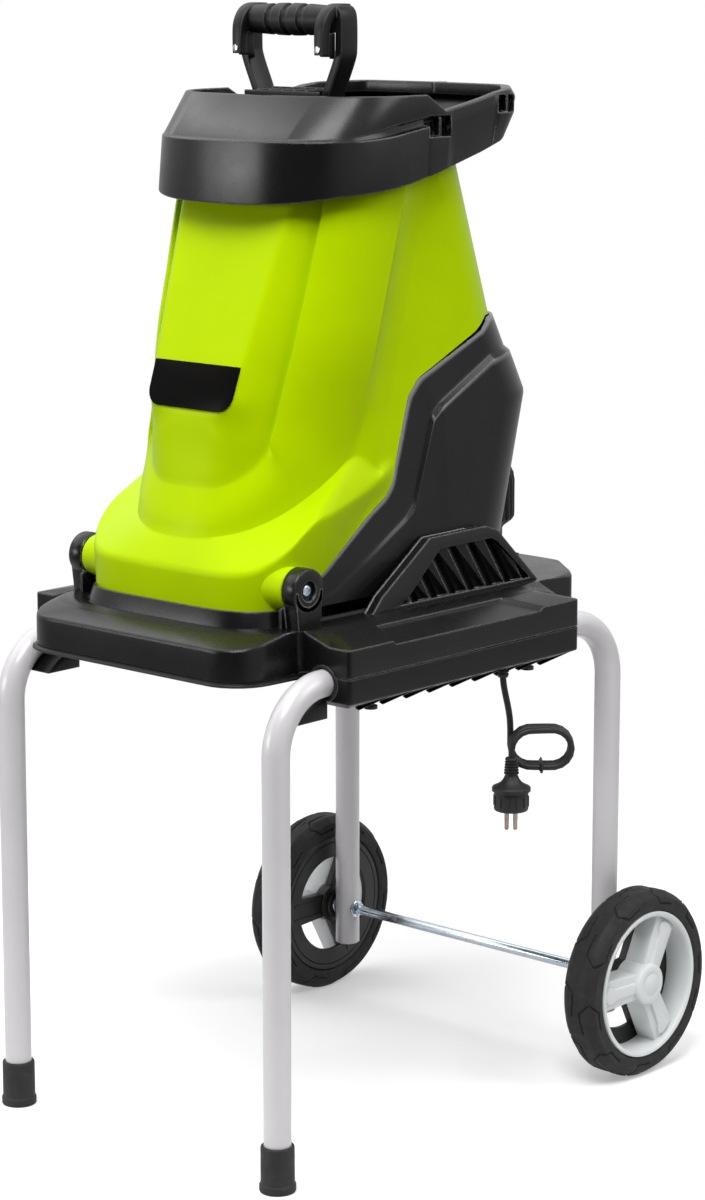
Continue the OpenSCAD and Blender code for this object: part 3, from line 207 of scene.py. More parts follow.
def moulded(name, light, dark, rough, grain_mm, grain_depth, specular=0.5, painted_highlight=None, crest=False,
            **sockets):
    """Injection-moulded plastic: drifting pigment, a tooled grain, uneven polish, painted edge highlight.
    """
    f = Finish(name, rough[1], specular, **sockets)
    drift, grain = f.noise(60, 4), f.noise(grain_mm, 2, 0.6)
    tint = f.ramp(drift, (0.3, dark), (0.7, light))
    if painted_highlight:
        tint = f.mix(painted_crest_highlights(f) if crest else painted_edge_highlights(f), tint, painted_highlight)
    f.colour(tint)
    f.roughness(f.span(f.noise(25, 5), *rough))
    f.bump(grain, grain_depth).bump(f.noise(45, 2), 0.05)
    return f.material


print("edges wear over", EDGE_MM, "mm")

# %% [markdown]
# Each plastic is a light and a dark tint of its pigment, a range of roughness, the size and depth
# of its grain in millimetres, and how strongly it mirrors. The black plastics of the body and the
# handle end with a paler tint that is painted on their edges as a highlight. The green shell is
# smooth and tints what it mirrors. The black mouldings differ in their gloss: the deck shines, the
# underside and the handle are duller, and the badge is polished.

# %% Plastics
green_plastic = moulded("green_plastic", srgb(175, 206, 1), srgb(169, 201, 1), (0.32, 0.38), 0.7, 0.006,
                        0.14, Specular_Tint=(0.72, 0.86, 0.06, 1.0))
# The last colour of these black plastics is a paler tint painted on their edges as a highlight.
BLACK = (srgb(18, 18, 19), srgb(14, 14, 15), (0.24, 0.30), 0.8, 0.01, 0.30, srgb(132, 132, 134))
black_plastic = moulded("black_plastic", *BLACK)
black_shell = moulded("black_shell", *BLACK, crest=True)
under_plastic = moulded("under_plastic", srgb(20, 20, 21), srgb(15, 15, 16), (0.32, 0.40), 0.9, 0.02, 0.2,
                        srgb(84, 84, 86))
handle_plastic = moulded("handle_plastic", srgb(22, 22, 23), srgb(17, 17, 18), (0.36, 0.46), 0.7, 0.03,
                         0.22, srgb(84, 84, 86))
wheel_black = moulded("wheel_black", srgb(26, 26, 27), srgb(20, 20, 21), (0.42, 0.55), 0.9, 0.03, 0.45)
wheel_grey = moulded("wheel_grey", srgb(218, 221, 221), srgb(211, 214, 215), (0.42, 0.52), 0.6, 0.01)
badge_gloss = moulded("badge", srgb(16, 15, 14), srgb(12, 12, 12), (0.16, 0.22), 0.5, 0.002, 0.02)
switch_red = moulded("switch_red", srgb(176, 34, 26), srgb(160, 28, 22), (0.3, 0.4), 0.6, 0.01)
switch_white = moulded("switch_white", srgb(214, 214, 212), srgb(204, 204, 202), (0.35, 0.45), 0.6, 0.01)
print("plastics ready")

# %% [markdown]
# Rubber is duller and dustier than plastic, paint on the tubes is smooth with a faint orange
# peel, and the small metal parts are zinc plated, with a faint blue tint from the plating. Metal
# mirrors in its own colour, so its tint is set as the base colour of a fully metallic shader.

# %% Rubber, paint and metal
def rubber(name, light, dark, rough, dust):
    """Rubber with a little dust in its grain."""
    f = Finish(name, rough, 0.35)
    body = f.ramp(f.noise(18, 5), (0.35, dark), (0.7, light))
    f.colour(f.mix(f.span(f.noise(7, 6), 0.0, 0.35, 0.5, 0.8), body, dust))
    f.roughness(f.span(f.noise(9, 4), rough - 0.08, rough + 0.1))
    return f.bump(f.noise(1.2, 3), 0.05).bump(f.noise(12, 2), 0.08).material


def plated(name, light, dark, rough, brushed_mm=1.2):
    """Bare or plated metal with a brushed grain."""
    f = Finish(name, rough, Metallic=1.0)
    f.colour(f.ramp(f.noise(14, 4), (0.32, dark), (0.68, light)))
    f.roughness(f.span(f.noise(brushed_mm * 6, 5), rough - 0.06, rough + 0.1))
    return f.bump(f.noise(brushed_mm, 4, 0.7), 0.01).material


tube = Finish("tube_paint", 0.3, 0.5, Coat_Weight=0.35, Coat_Roughness=0.12)
tube.colour(tube.ramp(tube.noise(60, 3), (0.3, srgb(200, 197, 201)), (0.7, srgb(205, 202, 205))))
tube.roughness(tube.span(tube.noise(30, 3), 0.28, 0.33))
tube_paint = tube.bump(tube.noise(2.5, 2), 0.012).material

foot_rubber = rubber("foot_rubber", srgb(40, 39, 40), srgb(31, 31, 32), 0.62, srgb(60, 58, 57))
tyre_rubber = rubber("tyre_rubber", srgb(31, 30, 31), srgb(23, 23, 24), 0.68, srgb(52, 50, 49))
belt_rubber = rubber("belt_rubber", srgb(28, 28, 28), srgb(20, 20, 20), 0.7, srgb(48, 46, 44))
cord_rubber = rubber("cord_rubber", srgb(33, 32, 32), srgb(25, 25, 25), 0.5, srgb(46, 44, 43))
zinc = plated("zinc", srgb(206, 214, 222), srgb(192, 202, 212), 0.2)
steel = plated("steel", srgb(182, 184, 188), srgb(150, 152, 156), 0.3, 0.8)
motor_metal = plated("motor_metal", srgb(140, 142, 145), srgb(112, 114, 117), 0.4, 1.5)
copper = plated("motor_copper", srgb(196, 122, 70), srgb(160, 96, 54), 0.35)
pin_brass = plated("pin_brass", srgb(160, 144, 130), srgb(132, 116, 104), 0.28)
print("rubber, paint and metal ready")

# %% [markdown]
# ## Light and floor
# The photograph is a white studio: two broad soft lights hang above the machine, one more hangs
# behind it to the right, and a low one stands to the front left, with white paper under and behind.
# Faces that look up are the brightest, and the low light draws the bright bar on the black funnel.
# The room is dim in front of the machine, and the black mouldings mirror that.

# %% Soft lights
def soft_light(name, at, aim, size, power):
    """A rectangular lamp that looks at a point."""
    data = bpy.data.lights.new(name, "AREA")
    data.shape, data.size, data.size_y, data.energy = "RECTANGLE", size[0], size[1], power
    light = bpy.data.objects.new(name, data)
    light.location = at
    turn = np.asarray(aim, float) - np.asarray(at, float)
    light.rotation_euler = (
        math.atan2(math.hypot(turn[0], turn[1]), -turn[2]), 0.0,
        math.atan2(turn[1], turn[0]) - math.pi / 2)
    bpy.context.scene.collection.objects.link(light)
    return light


lights = [
    soft_light("key_light", at=(-1.56, -2.59, 0.95), aim=(0, -0.1, 0.8), size=(1.3, 0.7), power=24),
    soft_light("left_light", at=(-1.20, -0.40, 2.95), aim=(0, 0, 0.8), size=(3.7, 3.7), power=66),
    soft_light("main_light", at=(0.95, -1.50, 3.10), aim=(0, 0, 0.65), size=(1.6, 1.6), power=94),
    soft_light("right_light", at=(2.4, 1.2, 2.6), aim=(0, 0, 0.6), size=(1.8, 1.8), power=48)]
print("soft lights:", [light.name for light in lights])

# %% [markdown]
# The world is what smooth pieces mirror and what fills their shadows. The camera sees it plain
# white. In mirror images it is bright except towards the dim side of the room, and as a fill it
# counts for a quarter only. A light path node tells these three kinds of ray apart.

# %% White world with a dim side
DIM_SIDE = (0.17, -0.98, 0.10)
DIM_FROM, DIM_TO = 0.40, 0.84
ROOM_BRIGHT, ROOM_DIM, WORLD_FILL = 0.75, 0.03, 0.25

world = bpy.data.worlds.new("studio")
bpy.context.scene.world = world
world.use_nodes = True
sky = world.node_tree
facing = sky.nodes.new("ShaderNodeVectorMath")
facing.operation = "DOT_PRODUCT"
facing.inputs[1].default_value = DIM_SIDE
sky.links.new(sky.nodes.new("ShaderNodeTexCoord").outputs["Generated"], facing.inputs[0])
room = sky.nodes.new("ShaderNodeMapRange")
room.interpolation_type = "SMOOTHSTEP"
for socket, number in (("From Min", DIM_FROM), ("From Max", DIM_TO),
                       ("To Min", ROOM_BRIGHT), ("To Max", ROOM_DIM)):
    room.inputs[socket].default_value = number
sky.links.new(facing.outputs["Value"], room.inputs["Value"])
room_light = room.outputs["Result"]

ray = sky.nodes.new("ShaderNodeLightPath").outputs
mirror_ray = node_math(sky, "ADD", ray["Is Glossy Ray"], ray["Is Transmission Ray"], True)
mirrored_room = node_math(sky, "MULTIPLY", mirror_ray, room_light)
seen = sky.nodes.new("ShaderNodeMix")
sky.links.new(node_math(sky, "ADD", ray["Is Camera Ray"], mirrored_room, True), seen.inputs["Factor"])
sky.links.new(node_math(sky, "MULTIPLY", room_light, WORLD_FILL), seen.inputs["A"])
seen.inputs["B"].default_value = 1.0
sky.links.new(seen.outputs["Result"], sky.nodes["Background"].inputs["Strength"])
sky.nodes["Background"].inputs["Color"].default_value = (1, 1, 1, 1)
bpy.context.scene.view_settings.view_transform = "Standard"
print("world with", len(sky.nodes), "nodes")

# %% [markdown]
# The floor is white paper. Close to the machine it takes its light and shadow; further out it
# fades into the plain white of the background, so that no horizon shows. Pieces mirror the paper
# less brightly than the camera sees it, and a small glow lifts it near the machine, as the light
# does that bounces about in a white room.

# %% White paper
PAPER_NEAR, PAPER_FAR = 0.5, 1.7
PAPER_BRIGHT, PAPER_DIM, PAPER_LIFT = 0.55, 0.1, 0.32
paper = Finish("floor_paper", 0.9, 0.0)
paper.colour(paper.ramp(paper.noise(3, 3), (0.3, (0.78, 0.78, 0.78, 1)), (0.7, (0.80, 0.80, 0.80, 1))))
paper.bump(paper.noise(1.5, 3), 0.02)


def paper_vector(operation, value):
    """One step of vector arithmetic in the paper's nodes."""
    node = paper.nodes.new("ShaderNodeVectorMath")
    node.operation = operation
    paper.links.new(value, node.inputs[0])
    return node


rays = paper.nodes.new("ShaderNodeLightPath").outputs
towards = paper_vector("DOT_PRODUCT", paper_vector("NORMALIZE", paper.place).outputs[0])
towards.inputs[1].default_value = DIM_SIDE
paper_room = paper.span(towards.outputs["Value"], PAPER_BRIGHT, PAPER_DIM, DIM_FROM, DIM_TO)
paper_mirror = node_math(paper.tree, "ADD", rays["Is Glossy Ray"], rays["Is Transmission Ray"], True)
mirrored_paper = node_math(paper.tree, "MULTIPLY", paper_mirror, paper_room)
shown_paper = node_math(paper.tree, "ADD", rays["Is Camera Ray"], mirrored_paper, True)
far_out = paper_vector("LENGTH", paper.place).outputs["Value"]
fade = paper.span(far_out, 0.0, 1.0, PAPER_NEAR, PAPER_FAR)
glow, lift = paper.nodes.new("ShaderNodeEmission"), paper.nodes.new("ShaderNodeEmission")
paper.links.new(shown_paper, glow.inputs["Strength"])
paper.links.new(node_math(paper.tree, "MULTIPLY", shown_paper, PAPER_LIFT), lift.inputs["Strength"])
lit = paper.nodes.new("ShaderNodeAddShader")
paper.links.new(paper.shader.outputs[0], lit.inputs[0])
paper.links.new(lift.outputs[0], lit.inputs[1])
near_and_far = paper.nodes.new("ShaderNodeMixShader")
paper.links.new(fade, near_and_far.inputs["Fac"])
paper.links.new(lit.outputs[0], near_and_far.inputs[1])
paper.links.new(glow.outputs[0], near_and_far.inputs[2])
paper.links.new(near_and_far.outputs[0], paper.nodes["Material Output"].inputs["Surface"])
print("paper fades out between", PAPER_NEAR, "and", PAPER_FAR, "m")

# %% [markdown]
# The floor itself is one large square. It belongs to the stage and not to the machine.

# %% Floor
FLOOR_M = 40.0
floor_end = FLOOR_M / 2
floor_mesh = bpy.data.meshes.new("floor")
floor_corners = [(x * floor_end, y * floor_end, 0) for x, y in ((-1, -1), (1, -1), (1, 1), (-1, 1))]
floor_mesh.from_pydata(floor_corners, [], [(0, 1, 2, 3)])
floor_mesh.materials.append(paper.material)
floor = bpy.data.objects.new("floor", floor_mesh)
bpy.context.scene.collection.objects.link(floor)
print("floor of", FLOOR_M, "m laid")

# %% [markdown]
# ## Making a piece
# The drawing counts in millimetres from the middle between the legs, and the frame in metres.
# One helper turns drawing points into a smooth-shaded mesh, keeps real corners sharp, gives it
# a finish and hangs it on a body. A form collects several parts into one moulded piece, and can
# mirror them to the machine's other side.

# %% Forms and pieces
MIDDLE_Y = -38.0


def to_frame(points):
    """Drawing millimetres to frame metres."""
    return (np.asarray(points, float) + (0.0, MIDDLE_Y, 0.0)) / 1000.0


class Form:
    """Points and faces of one piece, in drawing millimetres."""

    def __init__(self):
        self.points, self.faces, self.count = [], [], 0

    def add(self, part):
        points, faces = part
        self.points.append(np.asarray(points, float))
        self.faces.extend([[int(k) + self.count for k in f] for f in faces])
        self.count += len(points)
        return self

    def part(self):
        return np.concatenate(self.points), list(self.faces)

    def mirrored(self):
        """Adds the same form again, mirrored to the other side of the machine."""
        points = np.concatenate(self.points) * (-1, 1, 1)
        self.add((points, [f[::-1] for f in list(self.faces)]))
        return self


def make_piece(name, form, body, finish, stands_for=(), crisp=38):
    """A piece of the machine from a form, riding on a body."""
    mesh = bpy.data.meshes.new(name)
    mesh.from_pydata(to_frame(np.concatenate(form.points)).tolist(), [], form.faces)
    mesh.validate()
    outward = bmesh.new()
    outward.from_mesh(mesh)
    bmesh.ops.recalc_face_normals(outward, faces=outward.faces)
    outward.to_mesh(mesh)
    outward.free()
    mesh.shade_smooth()
    mesh.set_sharp_from_angle(angle=math.radians(crisp))
    mesh.materials.append(finish)
    piece = bpy.data.objects.new(name, mesh)
    bpy.context.scene.collection.objects.link(piece)
    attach(piece, body)
    if stands_for:
        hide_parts(*stands_for)
    print(f"{name}: {len(mesh.vertices)} points, {len(mesh.polygons)} faces on {body}")
    return piece


print("the drawing's origin lies at", np.round(to_frame((0, 0, 0)), 3), "m in the frame")

# %% [markdown]
# Most parts start as a grid of points. A skin lays quads over the grid. A lathe makes such a grid
# by turning a profile, and a sweep makes one by drawing a section along a path. Blender's screw
# and curve tools could do the same, but points that are counted here can be measured, bent or
# pressed in before they become a mesh.

# %% Skins, turned parts and sweeps
def skin(grid, ring=False):
    """Quads over a grid of points, up then across; a ring joins its last column to its first."""
    up, across = grid.shape[:2]
    i, j = np.meshgrid(np.arange(up - 1), np.arange(across if ring else across - 1), indexing="ij")
    n = (j + 1) % across
    quads = np.stack([i * across + j, i * across + n, (i + 1) * across + n, (i + 1) * across + j], -1)
    return grid.reshape(-1, 3), quads.reshape(-1, 4)


def lathe(profile, centre, axis="z", steps=48, closed=False):
    """Turns a profile of (radius, height) about an axis through a centre."""
    profile = np.asarray(profile, float)
    angle = np.linspace(0, 2 * np.pi, steps, endpoint=False)
    r, h = profile[:, :1], profile[:, 1:2]
    ring = np.stack([r * np.cos(angle), r * np.sin(angle), h + 0 * angle], -1)
    if closed:
        ring = np.concatenate([ring, ring[:1]])
    grid = ring[..., {"z": [0, 1, 2], "x": [2, 0, 1], "y": [1, 2, 0]}[axis]] + np.asarray(centre, float)
    points, quads = skin(grid, True)
    faces = quads.tolist()
    if not closed:
        faces += [list(range(steps))[::-1], list(range(len(points) - steps, len(points)))]
    return points, faces


def sweep(path, section, caps=True):
    """Draws a flat section along a path, kept from twisting."""
    path, section = np.asarray(path, float), np.asarray(section, float)
    ahead = np.gradient(path, axis=0)
    ahead /= np.linalg.norm(ahead, axis=1)[:, None]
    side = np.cross(ahead[0], (0.31, 0.17, 0.93) if abs(ahead[0][2]) < 0.9 else (0.13, 0.99, 0.0))
    rings = []
    for p, t in zip(path, ahead):
        side = side - t * (side @ t)
        side /= np.linalg.norm(side)
        rings.append(p + section[:, :1] * side + section[:, 1:2] * np.cross(t, side))
    points, quads = skin(np.array(rings), True)
    n, faces = len(section), quads.tolist()
    if caps:
        faces += [list(range(n))[::-1], list(range(len(points) - n, len(points)))]
    return points, faces


def disc(radius, sides=24):
    """A round section for a sweep."""
    t = np.linspace(0, 2 * np.pi, sides, endpoint=False)
    return radius * np.stack([np.cos(t), np.sin(t)], 1)


print("quads around a turned rod:", len(lathe([(1, 0), (1, 1)], (0, 0, 0))[1]) - 2)

# %% [markdown]
# Flat parts are outlines with rounded corners. A plate gives an outline its thickness and a soft
# edge, so that the edge catches the light as a moulded one does. A bevel modifier would round
# every edge of a piece alike; here each plate says how soft its own edge is.

# %% Outlines and plates
def rounded_outline(corners, steps=5):
    """A closed outline from corners given as (across, up, radius)."""
    out, n = [], len(corners)
    for i in range(n):
        p, before, after = (np.asarray(corners[k % n][:2], float) for k in (i, i - 1, i + 1))
        u, v = before - p, after - p
        u, v = u / np.linalg.norm(u), v / np.linalg.norm(v)
        half = math.acos(np.clip(u @ v, -1, 1)) / 2
        reach = corners[i][2] / math.tan(half)
        start, end = p + u * reach, p + v * reach
        c = p + (u + v) / np.linalg.norm(u + v) * corners[i][2] / math.sin(half)
        for k in range(steps + 1):
            q = start + (end - start) * k / steps - c
            out.append(c + q / np.linalg.norm(q) * corners[i][2])
    return np.array(out)


def inset(outline, depth):
    """A flat closed outline, counter-clockwise, moved inwards by a depth."""
    p = np.asarray(outline, float)
    a, b = p - np.roll(p, 1, 0), np.roll(p, -1, 0) - p
    a, b = a / np.linalg.norm(a, axis=1)[:, None], b / np.linalg.norm(b, axis=1)[:, None]
    m, n = np.stack([-a[:, 1], a[:, 0]], 1), np.stack([-b[:, 1], b[:, 0]], 1)
    return p + depth * (m + n) / np.maximum(0.3, 1 + (m * n).sum(1))[:, None]


def plate(outline, depth, edge=1.0, rounds=3):
    """A plate of a flat outline with rounded edges, as points (across, up, out)."""
    turn = np.linspace(0, np.pi / 2, rounds + 1)
    steps = [(edge * (1 - math.sin(t)), edge * (1 - math.cos(t))) for t in turn]
    steps += [(i, depth - w) for i, w in reversed(steps)]
    rings = [np.c_[inset(outline, i), np.full(len(outline), w)] for i, w in steps]
    points, quads = skin(np.array(rings), True)
    n = len(outline)
    return points, quads.tolist() + [list(range(n))[::-1], list(range(len(points) - n, len(points)))]


def placed(part, origin, across, up):
    """Lays (across, up, out) points into the drawing."""
    points, faces = part
    a, u = np.asarray(across, float), np.asarray(up, float)
    return np.asarray(origin, float) + points @ np.stack([a, u, np.cross(a, u)]), faces


print("points around a square with soft corners:",
      len(rounded_outline([(0, 0, 1), (9, 0, 1), (9, 9, 1), (0, 9, 1)])))

# %% [markdown]
# ## Mains lead
# A short lead hangs out of the base through a ribbed sleeve, is folded into a small upright hank
# held by a tie, and ends in a round two-pin plug that hangs under it. The route repeats the
# drawing's points, in the drawing's millimetres, and is smoothed where the lead hangs free.

# %% Route of the lead
CORD_MM = 6.0
LEAD_OUT = np.array([180.0, 62.0, 421.0])
ROUTE = np.array([[0, 0, 20], [0, 0, 8], [0, 0, -4], [1, 2, -16], [2, 5, -28], [3, 7, -40],
                  [3, 8, -50], [3, 8, -60]], float)
STEP_WAY = np.array([0.672, -0.741, 0.0])
OPEN_WAY = np.array([0.741, 0.672, 0.0])
FOLD_R, RUN, LOOPS, LOOP_STEP, LAST_STEP, LEAD_IN = 18.0, 20.0, 3, 7.0, 6.0, 6.0
UP = np.array([0.0, 0.0, 1.0])
fold_len = math.pi * FOLD_R
loop_len = 2 * fold_len + 2 * RUN


def on_loop(s):
    """Place on one loop of the hank after a length s: across and up."""
    def fold(run, a):
        return FOLD_R + run + FOLD_R * math.cos(a), FOLD_R * math.sin(a)
    if s < fold_len / 2:
        return fold(0, math.pi + s / FOLD_R)
    s -= fold_len / 2
    if s < RUN:
        return FOLD_R + s, -FOLD_R
    s -= RUN
    if s < fold_len:
        return fold(RUN, 1.5 * math.pi + s / FOLD_R)
    s -= fold_len
    if s < RUN:
        return FOLD_R + RUN - s, FOLD_R
    return fold(0, math.pi / 2 + (s - RUN) / FOLD_R)


def hank_side(t):
    return LOOP_STEP * t + LAST_STEP * max(0.0, (t - LOOPS + 0.5) * 2) ** 2


hank_start = LEAD_OUT + ROUTE[-1]
turns = np.arange(0, LOOPS, 1 / 24)
hank = [hank_start - LEAD_IN * UP + OPEN_WAY * on_loop((t % 1) * loop_len)[0] + STEP_WAY * hank_side(t)
        + UP * on_loop((t % 1) * loop_len)[1] for t in turns]
hank_last = hank_start - LEAD_IN * UP + STEP_WAY * hank_side(LOOPS)
plug_top = hank_last - LEAD_IN * UP
fine = np.linspace(0, len(ROUTE) - 1, 25)
free_run = LEAD_OUT + np.stack([np.interp(fine, range(len(ROUTE)), ROUTE[:, k]) for k in range(3)], 1)
for _ in range(3):
    free_run[1:-1] = (free_run[:-2] + 2 * free_run[1:-1] + free_run[2:]) / 4
cord_line = np.array([*free_run, *hank, hank_last, plug_top])

# %% [markdown]
# The lead is a round section drawn along that curve. The tie is a flat band around the lower run
# of the hank, with a short free end.

# %% Lead and tie
lead = make_piece("mains_lead", Form().add(sweep(cord_line, disc(CORD_MM / 2, 14))), "base",
                  cord_rubber, ("cord", "cord_hank"))

TIE_SLACK, TIE_CORNER = 1.6, 2.5
tie_mid = hank_start - LEAD_IN * UP + OPEN_WAY * (FOLD_R + RUN / 2) - UP * FOLD_R
tie_mid = tie_mid + STEP_WAY * LOOP_STEP * ((fold_len + RUN) / 2 / loop_len + (LOOPS - 1) / 2)
tie_w, tie_h = (LOOPS - 1) * LOOP_STEP + CORD_MM + TIE_SLACK, CORD_MM + TIE_SLACK
tie_loop = rounded_outline([(-tie_w / 2, -tie_h / 2, TIE_CORNER), (tie_w / 2, -tie_h / 2, TIE_CORNER),
                            (tie_w / 2, tie_h / 2, TIE_CORNER), (-tie_w / 2, tie_h / 2, TIE_CORNER)])
tie_path = tie_mid + tie_loop[:, :1] * STEP_WAY + tie_loop[:, 1:2] * UP
tie_path = np.concatenate([tie_path, tie_path[:2]])
tie_band = rounded_outline([(-0.9, -2, 0.6), (0.9, -2, 0.6), (0.9, 2, 0.6), (-0.9, 2, 0.6)], 3)
tie_form = Form().add(sweep(tie_path, tie_band))
tie_form.add(sweep(tie_mid + STEP_WAY * tie_w / 2 + np.outer([0, 1.5, 4, 7], STEP_WAY)
                   + np.outer([0, 0.5, 0, -2], UP), tie_band))
tie = make_piece("lead_tie", tie_form, "base", cord_rubber, ("cord_tie",))

# %% [markdown]
# The plug is one turned profile: a ribbed sleeve that lets the lead bend, a shoulder, a rim to
# pull on and a round body. Small ribs around the body give a hold. Its two pins are turned too.

# %% Plug and pins
SLEEVE_RIBS, PLUG_RIBS, PIN_OUT = 6, 12, 4.0
relief = [(3.2, 0), (5.2, 0)]
for k in range(SLEEVE_RIBS):
    relief += [(6.0 + 0.2 * k, -1.2 - 2.6 * k), (6.0 + 0.2 * k, -2.2 - 2.6 * k),
               (4.8 + 0.2 * k, -2.6 - 2.6 * k), (4.8 + 0.2 * k, -3.4 - 2.6 * k)]
plug_profile = relief + [(6.6, -18), (7.4, -20), (10, -23.5), (14, -26), (17.4, -27.6), (18, -28.4),
                         (18, -31.4), (17.4, -32), (16, -32.4), (15.6, -33), (15.9, -34),
                         (16, -48.6), (15.4, -49.6), (14.6, -50), (0.2, -50)]
plug_form = Form().add(lathe(plug_profile[::-1], plug_top, steps=56))
for turn in np.linspace(0, 2 * math.pi, PLUG_RIBS, endpoint=False):
    out = np.array([math.cos(turn), math.sin(turn), 0.0])
    rib = rounded_outline([(-1.1, -46, 0.8), (1.1, -46, 0.8), (1.1, -35.5, 0.8), (-1.1, -35.5, 0.8)], 3)
    plug_form.add(placed(plate(rib, 1.6, 0.5, 2), plug_top + out * 15.2, np.cross(UP, out), UP))
plug = make_piece("plug", plug_form, "base", cord_rubber, ("plug_body",))

pin_profile = [(0.1, -69), (1.2, -69), (1.8, -68.2), (2.0, -67), (2.0, -60.2), (2.15, -60), (2.15, -48),
               (0.1, -48)]
pins_form = Form()
for s in (-1, 1):
    pins_form.add(lathe(pin_profile, plug_top + OPEN_WAY * PIN_OUT * s, steps=24))
pins = make_piece("plug_pins_dressed", pins_form, "base", pin_brass, ("plug_pins",))

# %% [markdown]
# A second ribbed sleeve guides the lead out of the base.

# %% Sleeve of the lead
sleeve = [(3.2, -1), (4.6, -1), (5.0, 0)]
for k in range(SLEEVE_RIBS):
    sleeve += [(5.4 + 0.25 * k, 1 + 3 * k), (5.4 + 0.25 * k, 2.4 + 3 * k), (4.4 + 0.25 * k, 2.8 + 3 * k),
               (4.4 + 0.25 * k, 3.6 + 3 * k)]
sleeve += [(7, 19), (7, 24), (0.1, 24)]
make_piece("lead_sleeve", Form().add(lathe(sleeve, LEAD_OUT, steps=40)), "base", cord_rubber,
           ("cord_gland",))

print("cord of", CORD_MM, "mm declared")

# %% [markdown]
# ## Green front shell
# The hopper's front is one large green moulding: a skirt at its foot, a ledge, a rounded nose
# with a flat raised panel inside a U-shaped valley, and sides that step in behind a crease. A
# sculpt would be hard to measure, so the shell is a grid of points on curves that the drawing
# gives. Its rows follow the ledge and its columns follow the panel, the valley and the crease.

# %% Outer form of the nose
HINGE_Y, HINGE_Z, FOOT_Z, SHELL_H = -162.0, 528.0, 505.0, 400.0


def lerp(a, b, t):
    """The value a share t of the way from a to b."""
    return a + (b - a) * t


def table(at, *pairs):
    """A value read from pairs of (place, value), straight between them."""
    return np.interp(at, [p[0] for p in pairs], [p[1] for p in pairs])


def smooth(t):
    """Rises from 0 to 1 with a soft start and end."""
    t = np.clip(t, 0, 1)
    return t * t * (3 - 2 * t)


def front_y(h):
    return -210 + 0.31 * h


def shield_x(h):
    """Half width of the nose, which is a little narrower at its foot."""
    return 117 - 12 * (1 - smooth((h - 120) / 130))


def crease_line(h):
    return -109 + 0.286 * h


def crease_y(h):
    return crease_line(h) + 1.1 * (117 - shield_x(h))


def nose_power(h):
    return table(h, (162, 2.4), (229, 2.6), (290, 2.85), (345, 3.25), (400, 3.6))


def nose(t, front, side, x, n):
    """Places around a rounded nose, seen from above."""
    return x * np.sin(t) ** (2 / n), side - (side - front) * np.maximum(0, np.cos(t)) ** (2 / n)


def nose_y(x, h):
    n, c = nose_power(h), crease_y(h)
    return c - (c - front_y(h)) * np.maximum(0, 1 - np.abs(x / shield_x(h)) ** n) ** (1 / n)


print("nose at mid height:", np.round([shield_x(200.0), front_y(200.0), crease_y(200.0)], 1))

# %% [markdown]
# The face carries a flat panel inside a valley. Both outlines are shaped like a U that is open
# upwards, and the distance from them says of any point whether it lies on the panel, on the bevel
# or on the lip. A step with rounded corners leads from one level to the next.

# %% Panel and valley
PANEL_LOW, PANEL_ROUND, VALLEY_LOW, VALLEY_ROUND = 170.0, 16.0, 104.0, 48.0
LIP_W, RAMP_W, VALLEY_DEEP, VALLEY_FOOT = 3.5, 36.0, 9.0, 7.0


def panel_x(h):
    return 54 + 0.09 * (h - 212)


def panel_y(h):
    return -228 + 0.357 * h


def valley_x(h):
    return table(h, (104, 72), (149, 77), (229, 86), (345, 91))


def u_distance(x, h, w, low, r):
    """Distance from a U-shaped outline that is open upwards, less than zero inside it."""
    dx, dh = np.abs(x) - w + r, low + r - h
    return np.hypot(np.maximum(dx, 0), np.maximum(dh, 0)) + np.minimum(np.maximum(dx, dh), 0) - r


def soft_step(q, soft):
    """0 below 0, 1 above 1 and straight between, with both corners rounded."""
    def ramp(v):
        return np.where(v < -soft, 0, np.where(v > soft, v, (v + soft) ** 2 / (4 * soft)))
    return ramp(q) - ramp(q - 1)


def face_y(x, h, soft=0.07):
    """Front of the nose: the panel, the bevel that falls away from it, and the valley's lip."""
    inside = u_distance(x, h, panel_x(h), PANEL_LOW, PANEL_ROUND)
    outside = u_distance(x, h, valley_x(h), VALLEY_LOW, VALLEY_ROUND)
    low = smooth((VALLEY_LOW + VALLEY_ROUND - h) / VALLEY_ROUND)
    wall = outside + LIP_W * (1 - low)
    q = np.where(inside <= 0, inside / 24,
                 np.where(wall >= 0, 1 + wall / 24, inside / np.maximum(1e-6, inside - wall)))
    sunk = lerp(VALLEY_DEEP, VALLEY_FOOT, low) * (1 - smooth(wall / lerp(LIP_W, RAMP_W, low)))
    return lerp(panel_y(h), nose_y(x, h) + sunk, soft_step(q, soft))


print("half widths of panel and valley at mid height:", np.round([panel_x(200.0), valley_x(200.0)], 1))

# %% [markdown]
# One column of the grid runs up the skirt, over a rounded fold, along the ledge and up the face.
# A number u counts the columns across, from 0 in the middle to 1 at the crease, and it keeps a
# column on the edge of the panel and another on the edge of the valley at every height.

# %% One column of the nose
SKIRT_X, SKIRT_Y, SKIRT_SIDE, SKIRT_POWER = 119.0, -200.0, -112.0, 4.2
PANEL_U, VALLEY_U = 0.2, 0.4
SKIRT_ROWS, FOLD_ROWS, LEDGE_ROWS, FACE_ROWS = 9, 7, 12, 190
LOW_ROWS = SKIRT_ROWS + FOLD_ROWS + LEDGE_ROWS
ALL_ROWS = LOW_ROWS + FACE_ROWS
LEDGE_FOLD_R, FOOT_IN, FOOT_H = 5.0, 7.0, 45.0
face_rise = np.linspace(0, 1, FACE_ROWS) ** 1.3


